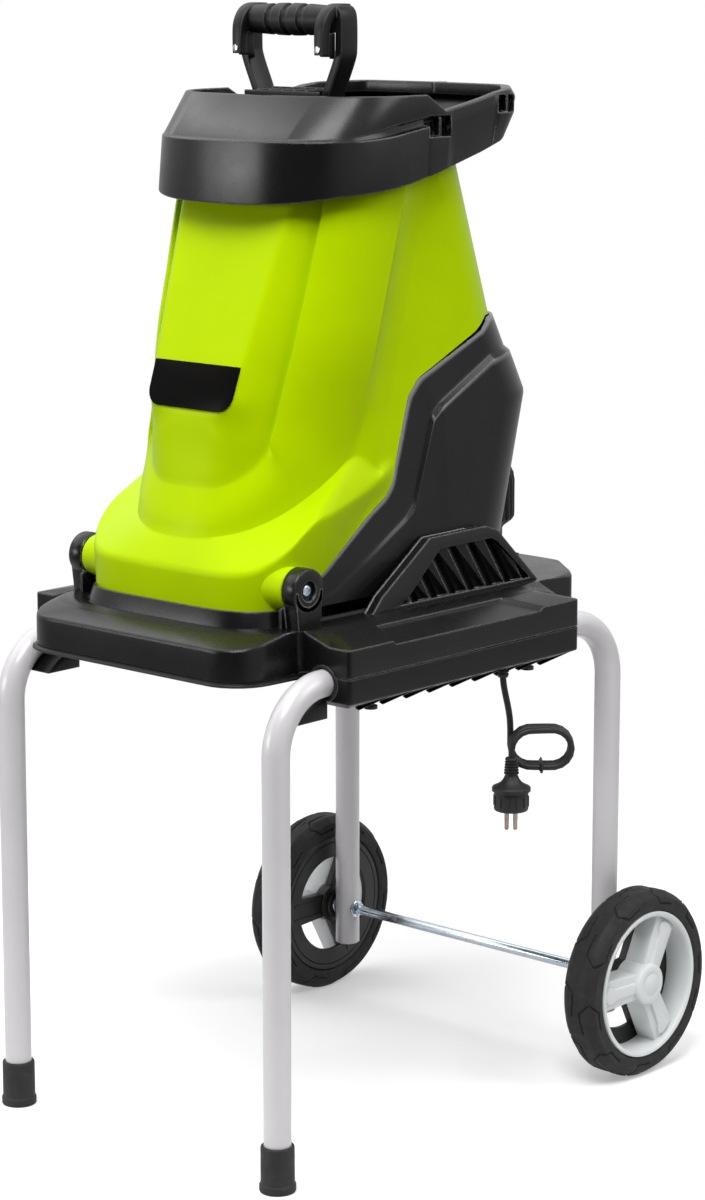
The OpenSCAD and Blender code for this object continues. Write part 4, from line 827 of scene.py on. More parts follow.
def face_x(u, h):
    """Distance from the middle of column u at a height."""
    n = nose_power(h)
    a = np.arcsin((valley_x(h) / shield_x(h)) ** (n / 2))
    t = lerp(a, np.pi / 2, np.clip((u - VALLEY_U) / (1 - VALLEY_U), 0, 1))
    inner = np.where(u < PANEL_U, panel_x(h) * u / PANEL_U,
                     lerp(panel_x(h), valley_x(h), (u - PANEL_U) / (VALLEY_U - PANEL_U)))
    return np.where(u < VALLEY_U, inner, shield_x(h) * np.sin(t) ** (2 / n))


def seam_front(y):
    return np.maximum(0, (y - HINGE_Y - 1) * 0.67)


def shield_low(t):
    return 58.5 + 69.5 * (t / (np.pi / 2)) ** 2.2


def skirt_top(t):
    return 34 + 48 * (t / (np.pi / 2)) ** 3.2


def nose_column(u):
    """Points up one column of the nose: skirt, rounded fold, ledge and face."""
    x0 = face_x(u, VALLEY_LOW)
    t = np.arcsin(min(1.0, (x0 / shield_x(VALLEY_LOW)) ** (nose_power(VALLEY_LOW) / 2)))
    low_x, low_y = nose(t, SKIRT_Y, SKIRT_SIDE, SKIRT_X, SKIRT_POWER)
    a, s = float(shield_low(t)), float(skirt_top(t))
    h = lerp(a, SHELL_H, face_rise)
    fx = face_x(np.full_like(h, u), h)
    face = np.stack([fx, face_y(fx, h) + FOOT_IN * np.cos(t) * (1 - smooth((h - a) / FOOT_H)), h], 1)
    foot = np.array([low_x, low_y, float(seam_front(low_y))])
    fold = np.array([low_x * (1.012 + 0.035 * smooth((t - 0.9) / 0.5)),
                     SKIRT_SIDE + (low_y - SKIRT_SIDE) * 1.016, s])
    start = lerp(fold, foot, min(0.45, LEDGE_FOLD_R / np.linalg.norm(foot - fold)))
    end = lerp(fold, face[0], min(0.45, LEDGE_FOLD_R / np.linalg.norm(face[0] - fold)))
    b = np.linspace(0, 1, FOLD_ROWS, endpoint=False)[:, None]
    return np.concatenate([
        lerp(foot, start, np.linspace(0, 1, SKIRT_ROWS, endpoint=False)[:, None]),
        (1 - b) ** 2 * start + 2 * b * (1 - b) * fold + b ** 2 * end,
        lerp(end, face[0], np.linspace(0, 1, LEDGE_ROWS, endpoint=False)[:, None]), face])


nose_end = nose_column(1.0)
print("points in one column:", len(nose_end), "of", ALL_ROWS)

# %% [markdown]
# Behind the crease a hollow band steps in by about ten millimetres, and the side runs back from
# it to a rounded rear corner. The side swells out a little along the line where the ledge folds
# down into it. The black rear shell uses the same curves with a bulge at its rear.

# %% Outline of the sides and the rear
SEAM_TOP = 241.0
REAR_LOW, REAR_BULGE, BULGE_H, BAND_W = 160.0, 40.0, 165.0, 43.0


def side_front_x(h):
    return table(h, (30, 118), (90, 113), (162, 109), (400, 104))


def side_rear_x(h):
    return table(h, (0, 121), (107, 119), (162, 118), (240, 114), (400, 106))


def green_rear(h):
    return REAR_LOW - 5 - 0.33 * (h - SEAM_TOP)


def black_rear(h):
    return np.where(h < BULGE_H, REAR_LOW + REAR_BULGE * h / BULGE_H,
                    REAR_LOW + REAR_BULGE * (SEAM_TOP - h) / (SEAM_TOP - BULGE_H))


def side_x(y, h):
    a, b = crease_line(h) + BAND_W, green_rear(np.maximum(h, SEAM_TOP)) - 60
    return lerp(side_front_x(h), side_rear_x(h), np.clip((y - a) / np.maximum(5, b - a), 0, 1))


def corner_point(a, h, rear, out):
    """Points of the rounded rear corner at an angle and heights."""
    r = table(h, (0, 75), (SEAM_TOP, 62), (400, 50))
    return np.stack([side_rear_x(h) - r + (r + out) * np.cos(a), rear - r + (r + out) * np.sin(a), h], -1)


def fold_bulge(y, h):
    """How far the side swells out along the line where the ledge folds down into it."""
    off = h - (82 + 0.324 * (y + 112))
    swell = 5 * np.exp(-(off / np.where(off < 0, 16.0, 7.0)) ** 2)
    return swell * (1 - smooth((y + 38) / 30)) * smooth((y + 110) / 30)


def side_point(y, h):
    return np.stack([side_x(y, h) + fold_bulge(y, h), y, h], -1)


print("side at mid height:", np.round(side_point(60.0, 200.0), 1))

# %% [markdown]
# The lower edge of the green shell follows the slanting seam with the black rear shell, so these
# columns start on the seam and lean with it. All of them have as many points as a column of the
# nose, so that rows run on from one to the next.

# %% Columns of the band, the side and the corner
BAND_LOW = 110.0
BAND_FOOT = [(-60.0, 68.0, SKIRT_ROWS), (-45.0, 95.0, FOLD_ROWS), (-42.0, 101.0, LEDGE_ROWS),
             (crease_line(BAND_LOW) + BAND_W, BAND_LOW, 0)]
SEAM = [(-48, 76, -30, 112, 49), (-28, 88, -22, 118, 49.5), (-19, 99, -14, 126, 50),
        (7, 176, 9.5, 192, 51), (20, 191, 22, 206, 51.8)]
even_rise = np.linspace(0, 1, ALL_ROWS)


def band_column(s):
    """A column of the hollow band, from the crease at 0 to the band's rear edge at 1."""
    foot = np.concatenate([
        lerp(np.array(a[:2]), np.array(b[:2]), np.linspace(0, 1, a[2], endpoint=False)[:, None])
        for a, b in zip(BAND_FOOT, BAND_FOOT[1:])])
    low = lerp(nose_end[:LOW_ROWS], side_point(foot[:, 0], foot[:, 1]), s)
    h = lerp(lerp(nose_end[LOW_ROWS, 2], BAND_LOW, s), SHELL_H, face_rise)
    hollow = 1 - (1 - s) ** 3
    face = np.stack([lerp(shield_x(h), side_front_x(h), hollow),
                     lerp(crease_y(h), crease_line(h) + BAND_W, s), h], 1)
    return np.concatenate([low, face])


def seam_column(low_y, low_h, mid_y, mid_h, top_y):
    """A column of the side, from the seam past the level of the ledge to the top."""
    low = np.linspace(0, 1, LOW_ROWS, endpoint=False)
    y = np.concatenate([lerp(low_y, mid_y, low), lerp(mid_y, top_y, face_rise)])
    return side_point(y, np.concatenate([lerp(low_h, mid_h, low), lerp(mid_h, SHELL_H, face_rise)]))


def corner_seam(a):
    return lerp(228, SEAM_TOP, min(1.0, a / math.radians(22)))


def corner_column(a):
    h = lerp(corner_seam(a), SHELL_H, even_rise)
    return corner_point(a, h, green_rear(h), 0)


step_column, first_seam, corner_first = band_column(1.0), seam_column(*SEAM[0]), corner_column(0.0)
print("points in these columns:", len(step_column), len(first_seam), len(corner_first))

# %% [markdown]
# The columns now stand side by side from the middle of the nose to the middle of the rear, and
# they are closest where the surface turns most. The right half is mirrored to close the ring.

# %% Grid of the green shell
def between(first, last, count):
    """Columns at even steps from one column to another."""
    return [lerp(first, last, k / count) for k in range(1, count + 1)]


def full_ring(half):
    """Columns of the right half, then the same mirrored, as a ring of grid columns."""
    return np.stack(half + [c * (-1, 1, 1) for c in half[-2:0:-1]], 1)


columns = [nose_column(u) for u in np.concatenate([
    np.linspace(0, PANEL_U, 22, endpoint=False),
    np.linspace(PANEL_U, VALLEY_U - 0.025, 12, endpoint=False),
    np.linspace(VALLEY_U - 0.025, VALLEY_U + 0.01, 7, endpoint=False),
    np.linspace(VALLEY_U + 0.01, 1, 50)])]
CREASE_COLUMN = len(columns) - 1
columns += [band_column(s) for s in np.linspace(0, 1, 21)[1:] ** 1.2]
columns += [side_point(c[:, 1], c[:, 2]) for c in between(step_column, first_seam, 12)]
for start, end, count in zip(SEAM, SEAM[1:], (7, 5, 26, 8)):
    columns += [seam_column(*lerp(np.array(start, float), np.array(end, float), k / count))
                for k in range(1, count + 1)]
columns += [side_point(c[:, 1], c[:, 2]) for c in between(columns[-1], corner_first, 24)]
columns += [corner_column(a) for a in np.linspace(0, np.pi / 2, 28)[1:]]
rear_h = lerp(SEAM_TOP, SHELL_H, even_rise)
rear_middle = np.stack([0 * rear_h, green_rear(rear_h) + 3, rear_h], 1)
columns += between(columns[-1], rear_middle, 16)
green_grid = full_ring(columns)
print("grid of the green shell:", green_grid.shape[0], "rows,", green_grid.shape[1], "columns")

# %% [markdown]
# A moulding has no hard folds where one drawn curve meets the next. One pass evens each column
# with its neighbours, except at the crease, which stays. More passes then soften the one place on
# each side where ledge, band and side meet.

# %% Softened places
SOFT_AT, SOFT_R, SOFT_PASSES, SOFT_SHARE, SOFT_FROM_X = (-52.0, 118.0), 20.0, 40, 0.6, 85
mixed = (np.roll(green_grid, 1, 1) + 2 * green_grid + np.roll(green_grid, -1, 1)) / 4
soft_columns = np.ones(green_grid.shape[1], bool)
for k in (CREASE_COLUMN, green_grid.shape[1] - CREASE_COLUMN):
    soft_columns[k - 1:k + 2] = False
green_grid[:, soft_columns, :2] = mixed[:, soft_columns, :2]
from_soft = np.hypot(green_grid[..., 1] - SOFT_AT[0], green_grid[..., 2] - SOFT_AT[1]) / SOFT_R
softness = np.where(np.abs(green_grid[..., 0]) > SOFT_FROM_X, np.exp(-from_soft ** 2), 0)[1:-1, :, None]
for _ in range(SOFT_PASSES):
    beside = np.roll(green_grid, 1, 1) + np.roll(green_grid, -1, 1)
    mixed = (beside[1:-1] + green_grid[2:] + green_grid[:-2]) / 4
    green_grid[1:-1] += SOFT_SHARE * softness * (mixed - green_grid[1:-1])
green_grid[..., 2] += FOOT_Z
print("columns evened:", int(soft_columns.sum()))

# %% [markdown]
# A moulded shell has a wall. The inner skin is the outer one moved inwards along its normals, with
# fewer points because it is hardly seen, and strips join the edges of both. Blender's solidify
# modifier would do this with as many points inside as outside. Two hinge barrels are turned.

# %% Green shell with its barrels
SHELL_WALL = 3.0


def normals_of(grid, ring):
    """Outward directions of a grid's points."""
    wide = np.concatenate([grid[:, -1:], grid, grid[:, :1]], 1) if ring else grid
    across = np.gradient(wide, axis=1)
    across = across[:, 1:-1] if ring else across
    n = np.cross(across, np.gradient(grid, axis=0))
    return n / np.maximum(1e-9, np.linalg.norm(n, axis=-1, keepdims=True))


def add_shell(form, grid, wall, ring=True, coarse=3):
    """Adds an outer skin, an inner skin with fewer points, and the strips that join their edges."""
    inner = grid - wall * normals_of(grid, ring)
    form.add(skin(grid, ring))
    form.add(skin(np.stack([inner[0], grid[0]]), ring))
    form.add(skin(np.stack([grid[-1], inner[-1]]), ring))
    if not ring:
        form.add(skin(np.stack([grid[:, 0], inner[:, 0]])))
        form.add(skin(np.stack([inner[:, -1], grid[:, -1]])))
    rows = sorted(set(range(0, len(grid), coarse)) | {len(grid) - 1})
    columns = sorted(set(range(0, grid.shape[1], coarse)) | (set() if ring else {grid.shape[1] - 1}))
    few = inner[rows][:, columns]
    points, quads = skin(few, ring)
    form.add((points, quads[:, ::-1]))
    return form


green_form = add_shell(Form(), green_grid, SHELL_WALL)
barrel = [(4.2, 92), (23.5, 92), (22.6, 101), (21, 109), (19.6, 116), (19, 121), (19, 126), (18, 127.4),
          (4.2, 127.4)]
for profile in (barrel, [(r, -x) for r, x in reversed(barrel)]):
    points, faces = lathe(profile, (0, HINGE_Y, HINGE_Z), "x", 64)
    points[:, 2] = np.maximum(points[:, 2], FOOT_Z + 1.5)
    green_form.add((points, faces))
make_piece("green_shell", green_form, "hopper", green_plastic, ("front_shell",), 26)

# %% [markdown]
# ## Blank badge
# A gloss black plate sits on the raised panel. It is left blank: a bare plate with a polished
# face and a soft edge.

# %% Badge plate
badge_top = PANEL_LOW + 42
badge_side = panel_x(badge_top) - 0.8
badge_outline = rounded_outline([(-52.2, PANEL_LOW + 2, 15.5), (52.2, PANEL_LOW + 2, 15.5),
                                 (badge_side, badge_top, 0.6), (-badge_side, badge_top, 0.6)], 6)
badge_points, badge_faces = plate(badge_outline, 1.6, 0.5, 3)
badge_points = np.stack([badge_points[:, 0], panel_y(badge_points[:, 1]) - badge_points[:, 2] - 0.1,
                         badge_points[:, 1] + FOOT_Z], 1)
make_piece("blank_badge", Form().add((badge_points, badge_faces)), "hopper", badge_gloss,
           ("badge_plate",))

# %% [markdown]
# ## Black rear shell
# The rear half is a black moulding with a raised panel. A border runs along the seam, and the
# panel rises from it with a narrow bevel that catches the light. Each column has three control
# points: its lower edge, the panel's edge and the seam.

# %% Columns of the rear shell
REAR_SIDES = np.array([[[-138, 0], [-138, 5], [-138, 14]], [[-108, 0], [-102, 13], [-112, 33]],
                       [[-48, 0], [-48, 42], [-48, 76]],
                       [[-2, 0], [-4, 67], [-28, 88]], [[12, 0], [8, 78], [-19, 99]],
                       [[40, 0], [36, 157], [7, 176]],
                       [[54, 0], [47, 167], [20, 191]]], float)
BORDER, PROUD, GAP = 0.5, 4.0, 0.8
PANEL_ROWS, BEVEL_ROWS, BORDER_ROWS = 44, 5, 9


def rear_rows(low, edge, seam, bevel=5.0):
    """Rows of one column as (place, height, share of the panel's rise)."""
    a = np.linspace(0, 1, PANEL_ROWS, endpoint=False)[:, None]
    top = edge - np.array([0, min(bevel, edge[1] * 0.5)])
    b = np.linspace(0, 1, BEVEL_ROWS, endpoint=False)[:, None]
    c = np.linspace(0, 1, BORDER_ROWS)[:, None]
    rows = np.concatenate([lerp(low, top, a), lerp(top, edge, b), lerp(edge, seam - [0, GAP], c)])
    rise = np.concatenate([np.ones(PANEL_ROWS), 1 - np.linspace(0, 1, BEVEL_ROWS, endpoint=False),
                           np.zeros(BORDER_ROWS)])
    return rows, rise


def rear_side_column(controls, proud):
    rows, rise = rear_rows(*controls)
    return np.stack([side_point(rows[:, 0], rows[:, 1])[:, 0] + BORDER + proud * rise, rows[:, 0],
                     rows[:, 1]], 1)


def rear_corner_column(a):
    s, e = corner_seam(a), lerp(205, 209, min(1.0, a / math.radians(22)))
    rows, rise = rear_rows(np.array([0.0, 0.0]), np.array([0.0, e]), np.array([0.0, s]))
    h = rows[:, 1]
    return corner_point(a, h, black_rear(h), BORDER + PROUD * rise)


print("rows in one column:", PANEL_ROWS + BEVEL_ROWS + BORDER_ROWS)

# %% [markdown]
# The columns run from the front along the side, around the corner and to the middle of the rear.
# The panel stands level with its border at the front and is fully proud at the corner.

# %% Rear shell
rear_columns = []
for i, count in enumerate((12, 18, 14, 6, 20, 6)):
    for k in range(count):
        t = k / count
        controls = lerp(REAR_SIDES[i], REAR_SIDES[i + 1], t)
        rear_columns.append(rear_side_column(controls, PROUD * (i + t) / 6))
rear_columns.append(rear_side_column(REAR_SIDES[6], PROUD))
rear_columns += between(rear_columns[-1], rear_corner_column(0.0), 22)
rear_columns += [rear_corner_column(a) for a in np.linspace(0, np.pi / 2, 26)[1:]]
rear_columns += between(rear_columns[-1], rear_columns[-1] * (0, 1, 1) + (0, 1.5, 0), 14)
rear_grid = np.stack(rear_columns + [c * (-1, 1, 1) for c in rear_columns[-2::-1]], 1)
rear_grid[..., 2] += FOOT_Z
make_piece("rear_shell_dressed", add_shell(Form(), rear_grid, SHELL_WALL, ring=False), "hopper",
           black_shell, ("rear_shell",), 50)

# %% [markdown]
# ## Funnel cover
# The black funnel is one moulding. A band wraps the green shell, a hood slopes back from it to
# protect the hands, and an open feed mouth lies behind. A groove splits the band from the hood
# along each side and ends in a clip notch. One profile runs around the funnel, and each corner
# of the profile is rounded a little so that its edges catch light as moulded edges do.

# %% Rows with rounded corners
def filleted(rows, radii, steps=3):
    """Grid through rows of control points, with the corner at each inner row rounded."""
    out = [rows[0]]
    for before, here, after, radius in zip(rows, rows[1:], rows[2:], radii):
        a, b = before - here, after - here
        la, lb = (np.maximum(1e-6, np.linalg.norm(v, axis=-1, keepdims=True)) for v in (a, b))
        cut = np.minimum(radius, 0.45 * np.minimum(la, lb))
        for t in np.linspace(0, 1, steps + 1):
            out.append(here + (1 - t) ** 2 * a / la * cut + t ** 2 * b / lb * cut)
    out.append(rows[-1])
    return np.stack(out)


def plan_normals(row):
    """Outward directions, seen from above, of a half row that runs from the front to the rear."""
    full = np.concatenate([row[1:2] * (-1, 1, 1), row, row[-2:-1] * (-1, 1, 1)])
    along = full[2:] - full[:-2]
    n = np.stack([along[:, 1], -along[:, 0], 0 * along[:, 0]], 1)
    return n / np.maximum(1e-6, np.linalg.norm(n, axis=1, keepdims=True))


print("row helpers ready")

# %% [markdown]
# The front of the funnel follows curves like the nose of the green shell. Each edge of the profile
# has its own height along the side, given at a few places. A groove runs beside the hood, and two
# notches for clips are cut into each side.

# %% Edges around the front of the funnel
SHELL_TOP, HOOD_H, FUNNEL_X = FOOT_Z + SHELL_H, 48.0, 128.0
LOW_EDGE = ((-130, -47), (-88, -39), (-47, -35), (-12, -30), (24, -24), (60, -15), (97, -6), (131, 4),
            (152, 11), (180, 23))
BAND_TOP = ((-128, 8), (-73, 9), (-31, 13), (17, 20), (39, 25), (152, 44))
HOOD_FOOT = ((-128, 10.5), (-73, 13), (-31, 22), (15, 28), (39, 29), (152, 47))
NOTCHES = ((16.0, 45.0, 10.5, 29.0), (112.0, 138.0, 29.0, 45.0))
NOTCH_DEEP, GROOVE_DEEP = 9.0, 7.0


def groove(y):
    """Lower edge, upper edge and depth of the groove beside the hood, or of a clip notch."""
    for start, end, low, high in NOTCHES:
        if start <= y <= end:
            return low, high, NOTCH_DEEP
    if y < NOTCHES[0][0]:
        return table(y, *BAND_TOP), table(y, *HOOD_FOOT), GROOVE_DEEP * np.clip((y + 73) / 60, 0, 1)
    middle = table(y, (45, 20), (112, 36), (152, 42))
    return middle, middle + 2, 0.0


angles = np.linspace(0, np.pi / 2, 72)
nose_rows = []
for front, side, x, n, heights in ((-130, -12, 130, 2.6, LOW_EDGE), (-125.5, -12, 127.6, 2.6, BAND_TOP),
                                   (-122.5, -11, 126, 2.6, HOOD_FOOT),
                                   (-86, 6, 126, 2.8, ((0, HOOD_H),))):
    px, py = nose(angles, front, side, x, n)
    nose_rows.append(np.stack([px, py, table(py, *heights)], 1))
print("rows around the front:", len(nose_rows), "of", len(angles), "points")

# %% [markdown]
# The feed mouth behind the hood has straight sides and a rounded tail. Points lie closer together
# at the ends of the notches, so that the notches get upright walls.

# %% Edges around the feed mouth
mouth_plan = rounded_outline([(FUNNEL_X, 0, 0.1), (FUNNEL_X, 136, 30), (FUNNEL_X - 36, 176, 34),
                              (0, 181, 4), (-FUNNEL_X, 0, 0.1)], 12)
side_y = [0, 7, 14, 15.5, 16, 22, 30, 39, 42, 45, 45.5, 60, 78, 96, 111.5, 112, 118]
mouth_xy = [(FUNNEL_X, y) for y in side_y]
mouth_xy += [tuple(p) for p in mouth_plan if p[0] >= -1e-6 and p[1] > 119]
dense = [mouth_xy[0]]
for p in mouth_xy[1:]:
    steps = max(1, int(math.dist(dense[-1], p) / 5))
    dense += [tuple(lerp(np.array(dense[-1]), np.array(p), k / steps)) for k in range(1, steps + 1)]
for edge in (137.9, 138.4):
    k = next(i for i, p in enumerate(dense) if p[1] > edge)
    a, b = np.array(dense[k - 1]), np.array(dense[k])
    dense.insert(k, tuple(lerp(a, b, (edge - a[1]) / (b[1] - a[1]))))
MOUTH_TOP = ((14, HOOD_H), (39, 33), (78, 40), (118, 48), (136, 50), (150, 51), (180, 52))
mouth = np.array([[x, y, table(y, *MOUTH_TOP)] for x, y in dense])
mouth_out = plan_normals(mouth)
under = table(mouth[:, 1], (30, 2), (120, 8), (180, 14))[:, None]
mouth_rows = [mouth - under * mouth_out, mouth.copy(), mouth.copy(),
              mouth - table(mouth[:, 1], (100, 0.6), (140, 4))[:, None] * mouth_out]
mouth_rows[0][:, 2] = table(mouth[:, 1], *LOW_EDGE)
mouth_rows[2] = mouth_rows[2] - table(mouth[:, 1], (14, 1.6), (39, 0.0))[:, None] * mouth_out
print("points around half the mouth:", len(mouth))

# %% [markdown]
# Front and mouth join into rows that run around the whole funnel. The profile climbs the outside
# over the groove and the rim, and returns on the inside to the hem.

# %% Profile of the funnel
FUNNEL_WALL = 3
low_row, band_row, foot_row, rim_row = (np.concatenate([a, b[2:]]) for a, b in zip(nose_rows, mouth_rows))
cut = np.array([groove(y) for y in band_row[:, 1]])
band_row[:, 2], foot_row[:, 2] = cut[:, 0], np.minimum(cut[:, 1], rim_row[:, 2] - 1.5)
band_out = plan_normals(band_row)
deep = cut[:, 2:]
band_in, foot_in = band_row - deep * band_out, foot_row - deep * band_out
band_in[:, 2] += 0.3
lip = table(rim_row[:, 1], (6, 4.0), (40, 9.0))[:, None]
rim_out = plan_normals(rim_row)
lip_row = rim_row - lip * rim_out
drop_row = lip_row - table(rim_row[:, 1], (6, 3.0), (40, 11.0))[:, None] * (0, 0, 1)
inner_row = band_row - (deep + FUNNEL_WALL) * band_out - (0, 0, 1)
sill_row = lerp(low_row, band_row, 0.75) - FUNNEL_WALL * band_out
hem_row = low_row - FUNNEL_WALL * band_out
profile = [hem_row, low_row, band_row, band_in, foot_in, foot_row, rim_row, lip_row, drop_row, inner_row,
           sill_row, hem_row]
rounding = [1.2, 0.9, 0.6, 0.6, 1.0, 1.4, 1.0, 0.8, 0.5, 0.5]
print("funnel columns:", len(low_row), "deepest groove:", round(float(deep.max()), 1))

# %% [markdown]
# The rows become one ring with rounded corners. A small rib stands in each of the notches.

# %% Funnel piece
def ring_grid(rows):
    """Both halves of a grid of half rows, as one ring of columns."""
    return np.concatenate([rows, rows[:, -2:0:-1] * (-1, 1, 1)], 1)


funnel_grid = ring_grid(filleted(profile, rounding))
funnel_grid[..., 2] += SHELL_TOP
funnel_form = Form().add(skin(funnel_grid, True))
rib_outline = rounded_outline([(-4.2, -9, 0.6), (3.6, -9, 0.6), (3.6, 8, 0.6), (-4.2, 8, 0.6)], 2)
ribs = Form()
for (start, end, low, high), along in zip(NOTCHES, (0.52, 0.5)):
    rib = plate(rib_outline, 2.6, 0.5, 2)
    ribs.add(placed(rib, (FUNNEL_X - 4.4, lerp(start, end, along) + 1.3, SHELL_TOP + (low + high) / 2),
                    (1, 0, 0), (0, 0, 1)))
funnel_form.add(ribs.mirrored().part())
make_piece("funnel_dressed", funnel_form, "hopper", black_plastic, ("funnel_cover",), 50)

# %% [markdown]
# ## Feed chute
# Inside the funnel a chute leads the branches down to the blades. Its top is a tray that fits
# inside the funnel's wall and rises with the tail, and below the lip it is a tapering tube. Every
# level of the tube is a rounded rectangle, and each column keeps its direction from the middle.

# %% Feed chute
TRAY_T, TRAY_GAP, TUBE_WALL, TRAY_MIDDLE = 3.0, 3.6, 2.5, 15.0
chute_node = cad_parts["feed_chute"]
CHUTE_LOW = 1000 * min((chute_node.matrix_world @ v.co).z for v in chute_node.data.vertices) - SHELL_TOP
tray_h = np.maximum(0.0, low_row[:, 2] + 1.0)
share = np.clip((tray_h - low_row[:, 2]) / (band_row[:, 2] - low_row[:, 2]), 0, 1)[:, None]
tray_row = lerp(low_row, band_row, share) - TRAY_GAP * band_out
tray_row[:, 2] = tray_h


def chute_row(half_x, front, rear, h):
    """Half a rounded rectangle between a front and a rear edge, at a height above the shell's top."""
    middle, half_y = (rear - front) / 2, (rear + front) / 2
    dx, dy = tray_row[:, 0], tray_row[:, 1] - TRAY_MIDDLE
    reach = ((np.abs(dx) / half_x) ** 4 + (np.abs(dy) / half_y) ** 4) ** -0.25
    return np.stack([dx * reach, middle + dy * reach, h + 0 * dx], 1)


chute_rows = [tray_row, tray_row + (0, 0, TRAY_T), chute_row(88, 72, 72, TRAY_T),
              chute_row(75 - TUBE_WALL, 68, 50, -65),
              chute_row(52 - TUBE_WALL, 122, -36, CHUTE_LOW), chute_row(52, 125, -33, CHUTE_LOW),
              chute_row(75, 70, 52, -65),
              chute_row(88 + TUBE_WALL, 75, 75, 0.0), tray_row]
chute_grid = ring_grid(filleted(chute_rows, [0.8, 4.0, 12.0, 0.6, 0.6, 12.0, 4.0], 5))
chute_grid[..., 2] += SHELL_TOP
make_piece("chute_dressed", Form().add(skin(chute_grid, True)), "hopper", under_plastic,
           ("feed_chute",), 50)
print("chute reaches", round(-CHUTE_LOW), "mm below the shell's top")

# %% [markdown]
# ## Base housing
# The base is two black halves that meet at a seam. The upper half carries a front flange, side
# rails and a deck that rises to a collar around the hopper's foot. Every column of its grid
# starts at the outline seen from above and runs inwards, over the deck, to the well.

# %% Outline of the base
BASE_CORNERS = [(138, -247, 36), (142, -172, 5), (201, -172, 4), (201, 148, 4), (150, 148, 4),
                (150, 202, 12), (88, 254, 22)]
BASE_FRONT, BASE_REAR, WELL_Y = -247.0, 254.0, -27.0
DECK_EDGE, DECK_Z, SEAM_Z, RAIL_Z, FLANGE_Z, BEVEL_Z = 484.0, 494.0, 458.0, 435.0, 451.0, 421.0
RAIL_Y, RAIL_END, WALL = -172.0, 148.0, 3.0
STRAIGHTS = (24, 15, 10, 70, 10, 10, 14, 16)


def left_of(v):
    return np.array([-v[1], v[0]])


def unit(v):
    return v / np.linalg.norm(v)


def base_half(depth, corner_steps=7):
    """Right half of the outline, moved inwards, with the same count of points at any depth."""
    path = [np.array(p, float) for p in [(0, BASE_FRONT, 0)] + BASE_CORNERS + [(0, BASE_REAR, 0)]]
    moved = [np.array([0, BASE_FRONT + depth, 0.0])]
    for a, p, b in zip(path, path[1:], path[2:]):
        u, v = unit(p[:2] - a[:2]), unit(b[:2] - p[:2])
        m, n = left_of(u), left_of(v)
        turn = u[0] * v[1] - u[1] * v[0]
        q = p[:2] + depth * (m + n) / (1 + m @ n)
        moved.append(np.array([q[0], q[1], max(1.0, p[2] - depth) if turn > 0 else p[2]]))
    moved.append(np.array([0, BASE_REAR - depth, 0.0]))
    stops = [[moved[0][:2]]]
    for a, p, b in zip(moved, moved[1:], moved[2:]):
        u, v = unit(a[:2] - p[:2]), unit(b[:2] - p[:2])
        half_angle = math.acos(u @ v) / 2
        t = p[2] / math.tan(half_angle)
        s, e, c = p[:2] + u * t, p[:2] + v * t, p[:2] + unit(u + v) * p[2] / math.sin(half_angle)
        stops.append([c + unit(lerp(s, e, k / corner_steps) - c) * p[2] for k in range(corner_steps + 1)])
    stops.append([moved[-1][:2]])
    out = list(stops[0])
    for count, before, corner in zip(STRAIGHTS, stops, stops[1:]):
        out += [lerp(before[-1], corner[0], k / count) for k in range(1, count)] + corner
    return np.array(out)


outline = base_half(0.0)
on_flange = outline[:, 1] < RAIL_Y - 2
on_rail = (outline[:, 0] > 200.5) & (np.abs(outline[:, 1] + 12) < 165)
print("outline points on one half:", len(outline))

# %% [markdown]
# The deck slopes down from a flat plateau to the edge, so the edge stands higher in the inner
# corner where the flange meets the rail. A shallow recess is pressed into each rail's slope.

# %% Upper half of the base
RECESS_DEEP = 3.2


def oval(points, a, front, rear, n):
    """Points of a rounded oval in the direction of given points, seen from the well's middle."""
    dx, dy = points[:, 0], points[:, 1] - WELL_Y
    b = np.where(dy < 0, front + WELL_Y, rear - WELL_Y)
    k = (np.abs(dx / a) ** n + np.abs(dy / b) ** n) ** (-1 / n)
    return np.stack([dx * k, WELL_Y + dy * k], 1), k


def at(points, z):
    return np.c_[points, np.full(len(points), 1.0) * z]


_, share = oval(outline, 153, 213, 250, 6)
share = np.minimum(1.0, share)[:, None]
plateau = np.array([0, WELL_Y]) + (outline - [0, WELL_Y]) * share
away = np.linalg.norm(outline - plateau, axis=1)
edge_z = DECK_Z - (DECK_Z - DECK_EDGE) * np.clip(away / 34, 0, 1)
slope_in = lerp(plateau, outline, 0.30)
slope_z = lerp(DECK_Z, edge_z, 0.30)
recess = on_rail & (outline[:, 1] > -112) & (outline[:, 1] < 92)
dip = np.where(recess, RECESS_DEEP, 0.0)
collar_foot, _ = oval(outline, 126.5, 210, 157, 5)
collar_top, _ = oval(outline, 124, 205.5, 153, 5)
collar_in, _ = oval(outline, 122, 204, 150, 5)
groove_out, _ = oval(outline, 128.5, 212, 159, 5)
tall = np.where(collar_foot[:, 1] < HINGE_Y - 8, 14.0, 2.0)
low_z = np.where(on_flange, FLANGE_Z + 4.6, SEAM_Z + 0.4)
soft = np.where(on_flange, 3.2, 1.2)[:, None]
rows = [at(base_half(WALL), low_z), at(outline, low_z), at(outline, edge_z - dip),
        at(slope_in + 0.02 * (outline - slope_in), slope_z - dip + 0.2),
        at(slope_in, slope_z), at(plateau, DECK_Z), at(groove_out, DECK_Z),
        at(lerp(groove_out, collar_foot, 0.7), DECK_Z - np.where(tall > 5, 2.0, 0.5)),
        at(collar_foot, DECK_Z), at(collar_top, DECK_Z + tall), at(collar_in, DECK_Z + tall),
        at(collar_in, DECK_Z - 3 * WALL)]
deck_grid = ring_grid(filleted(rows, [0.5, soft, 0.8, 0.8, 6.0, 0.6, 0.6, 0.6, 0.9, 0.9], 4))
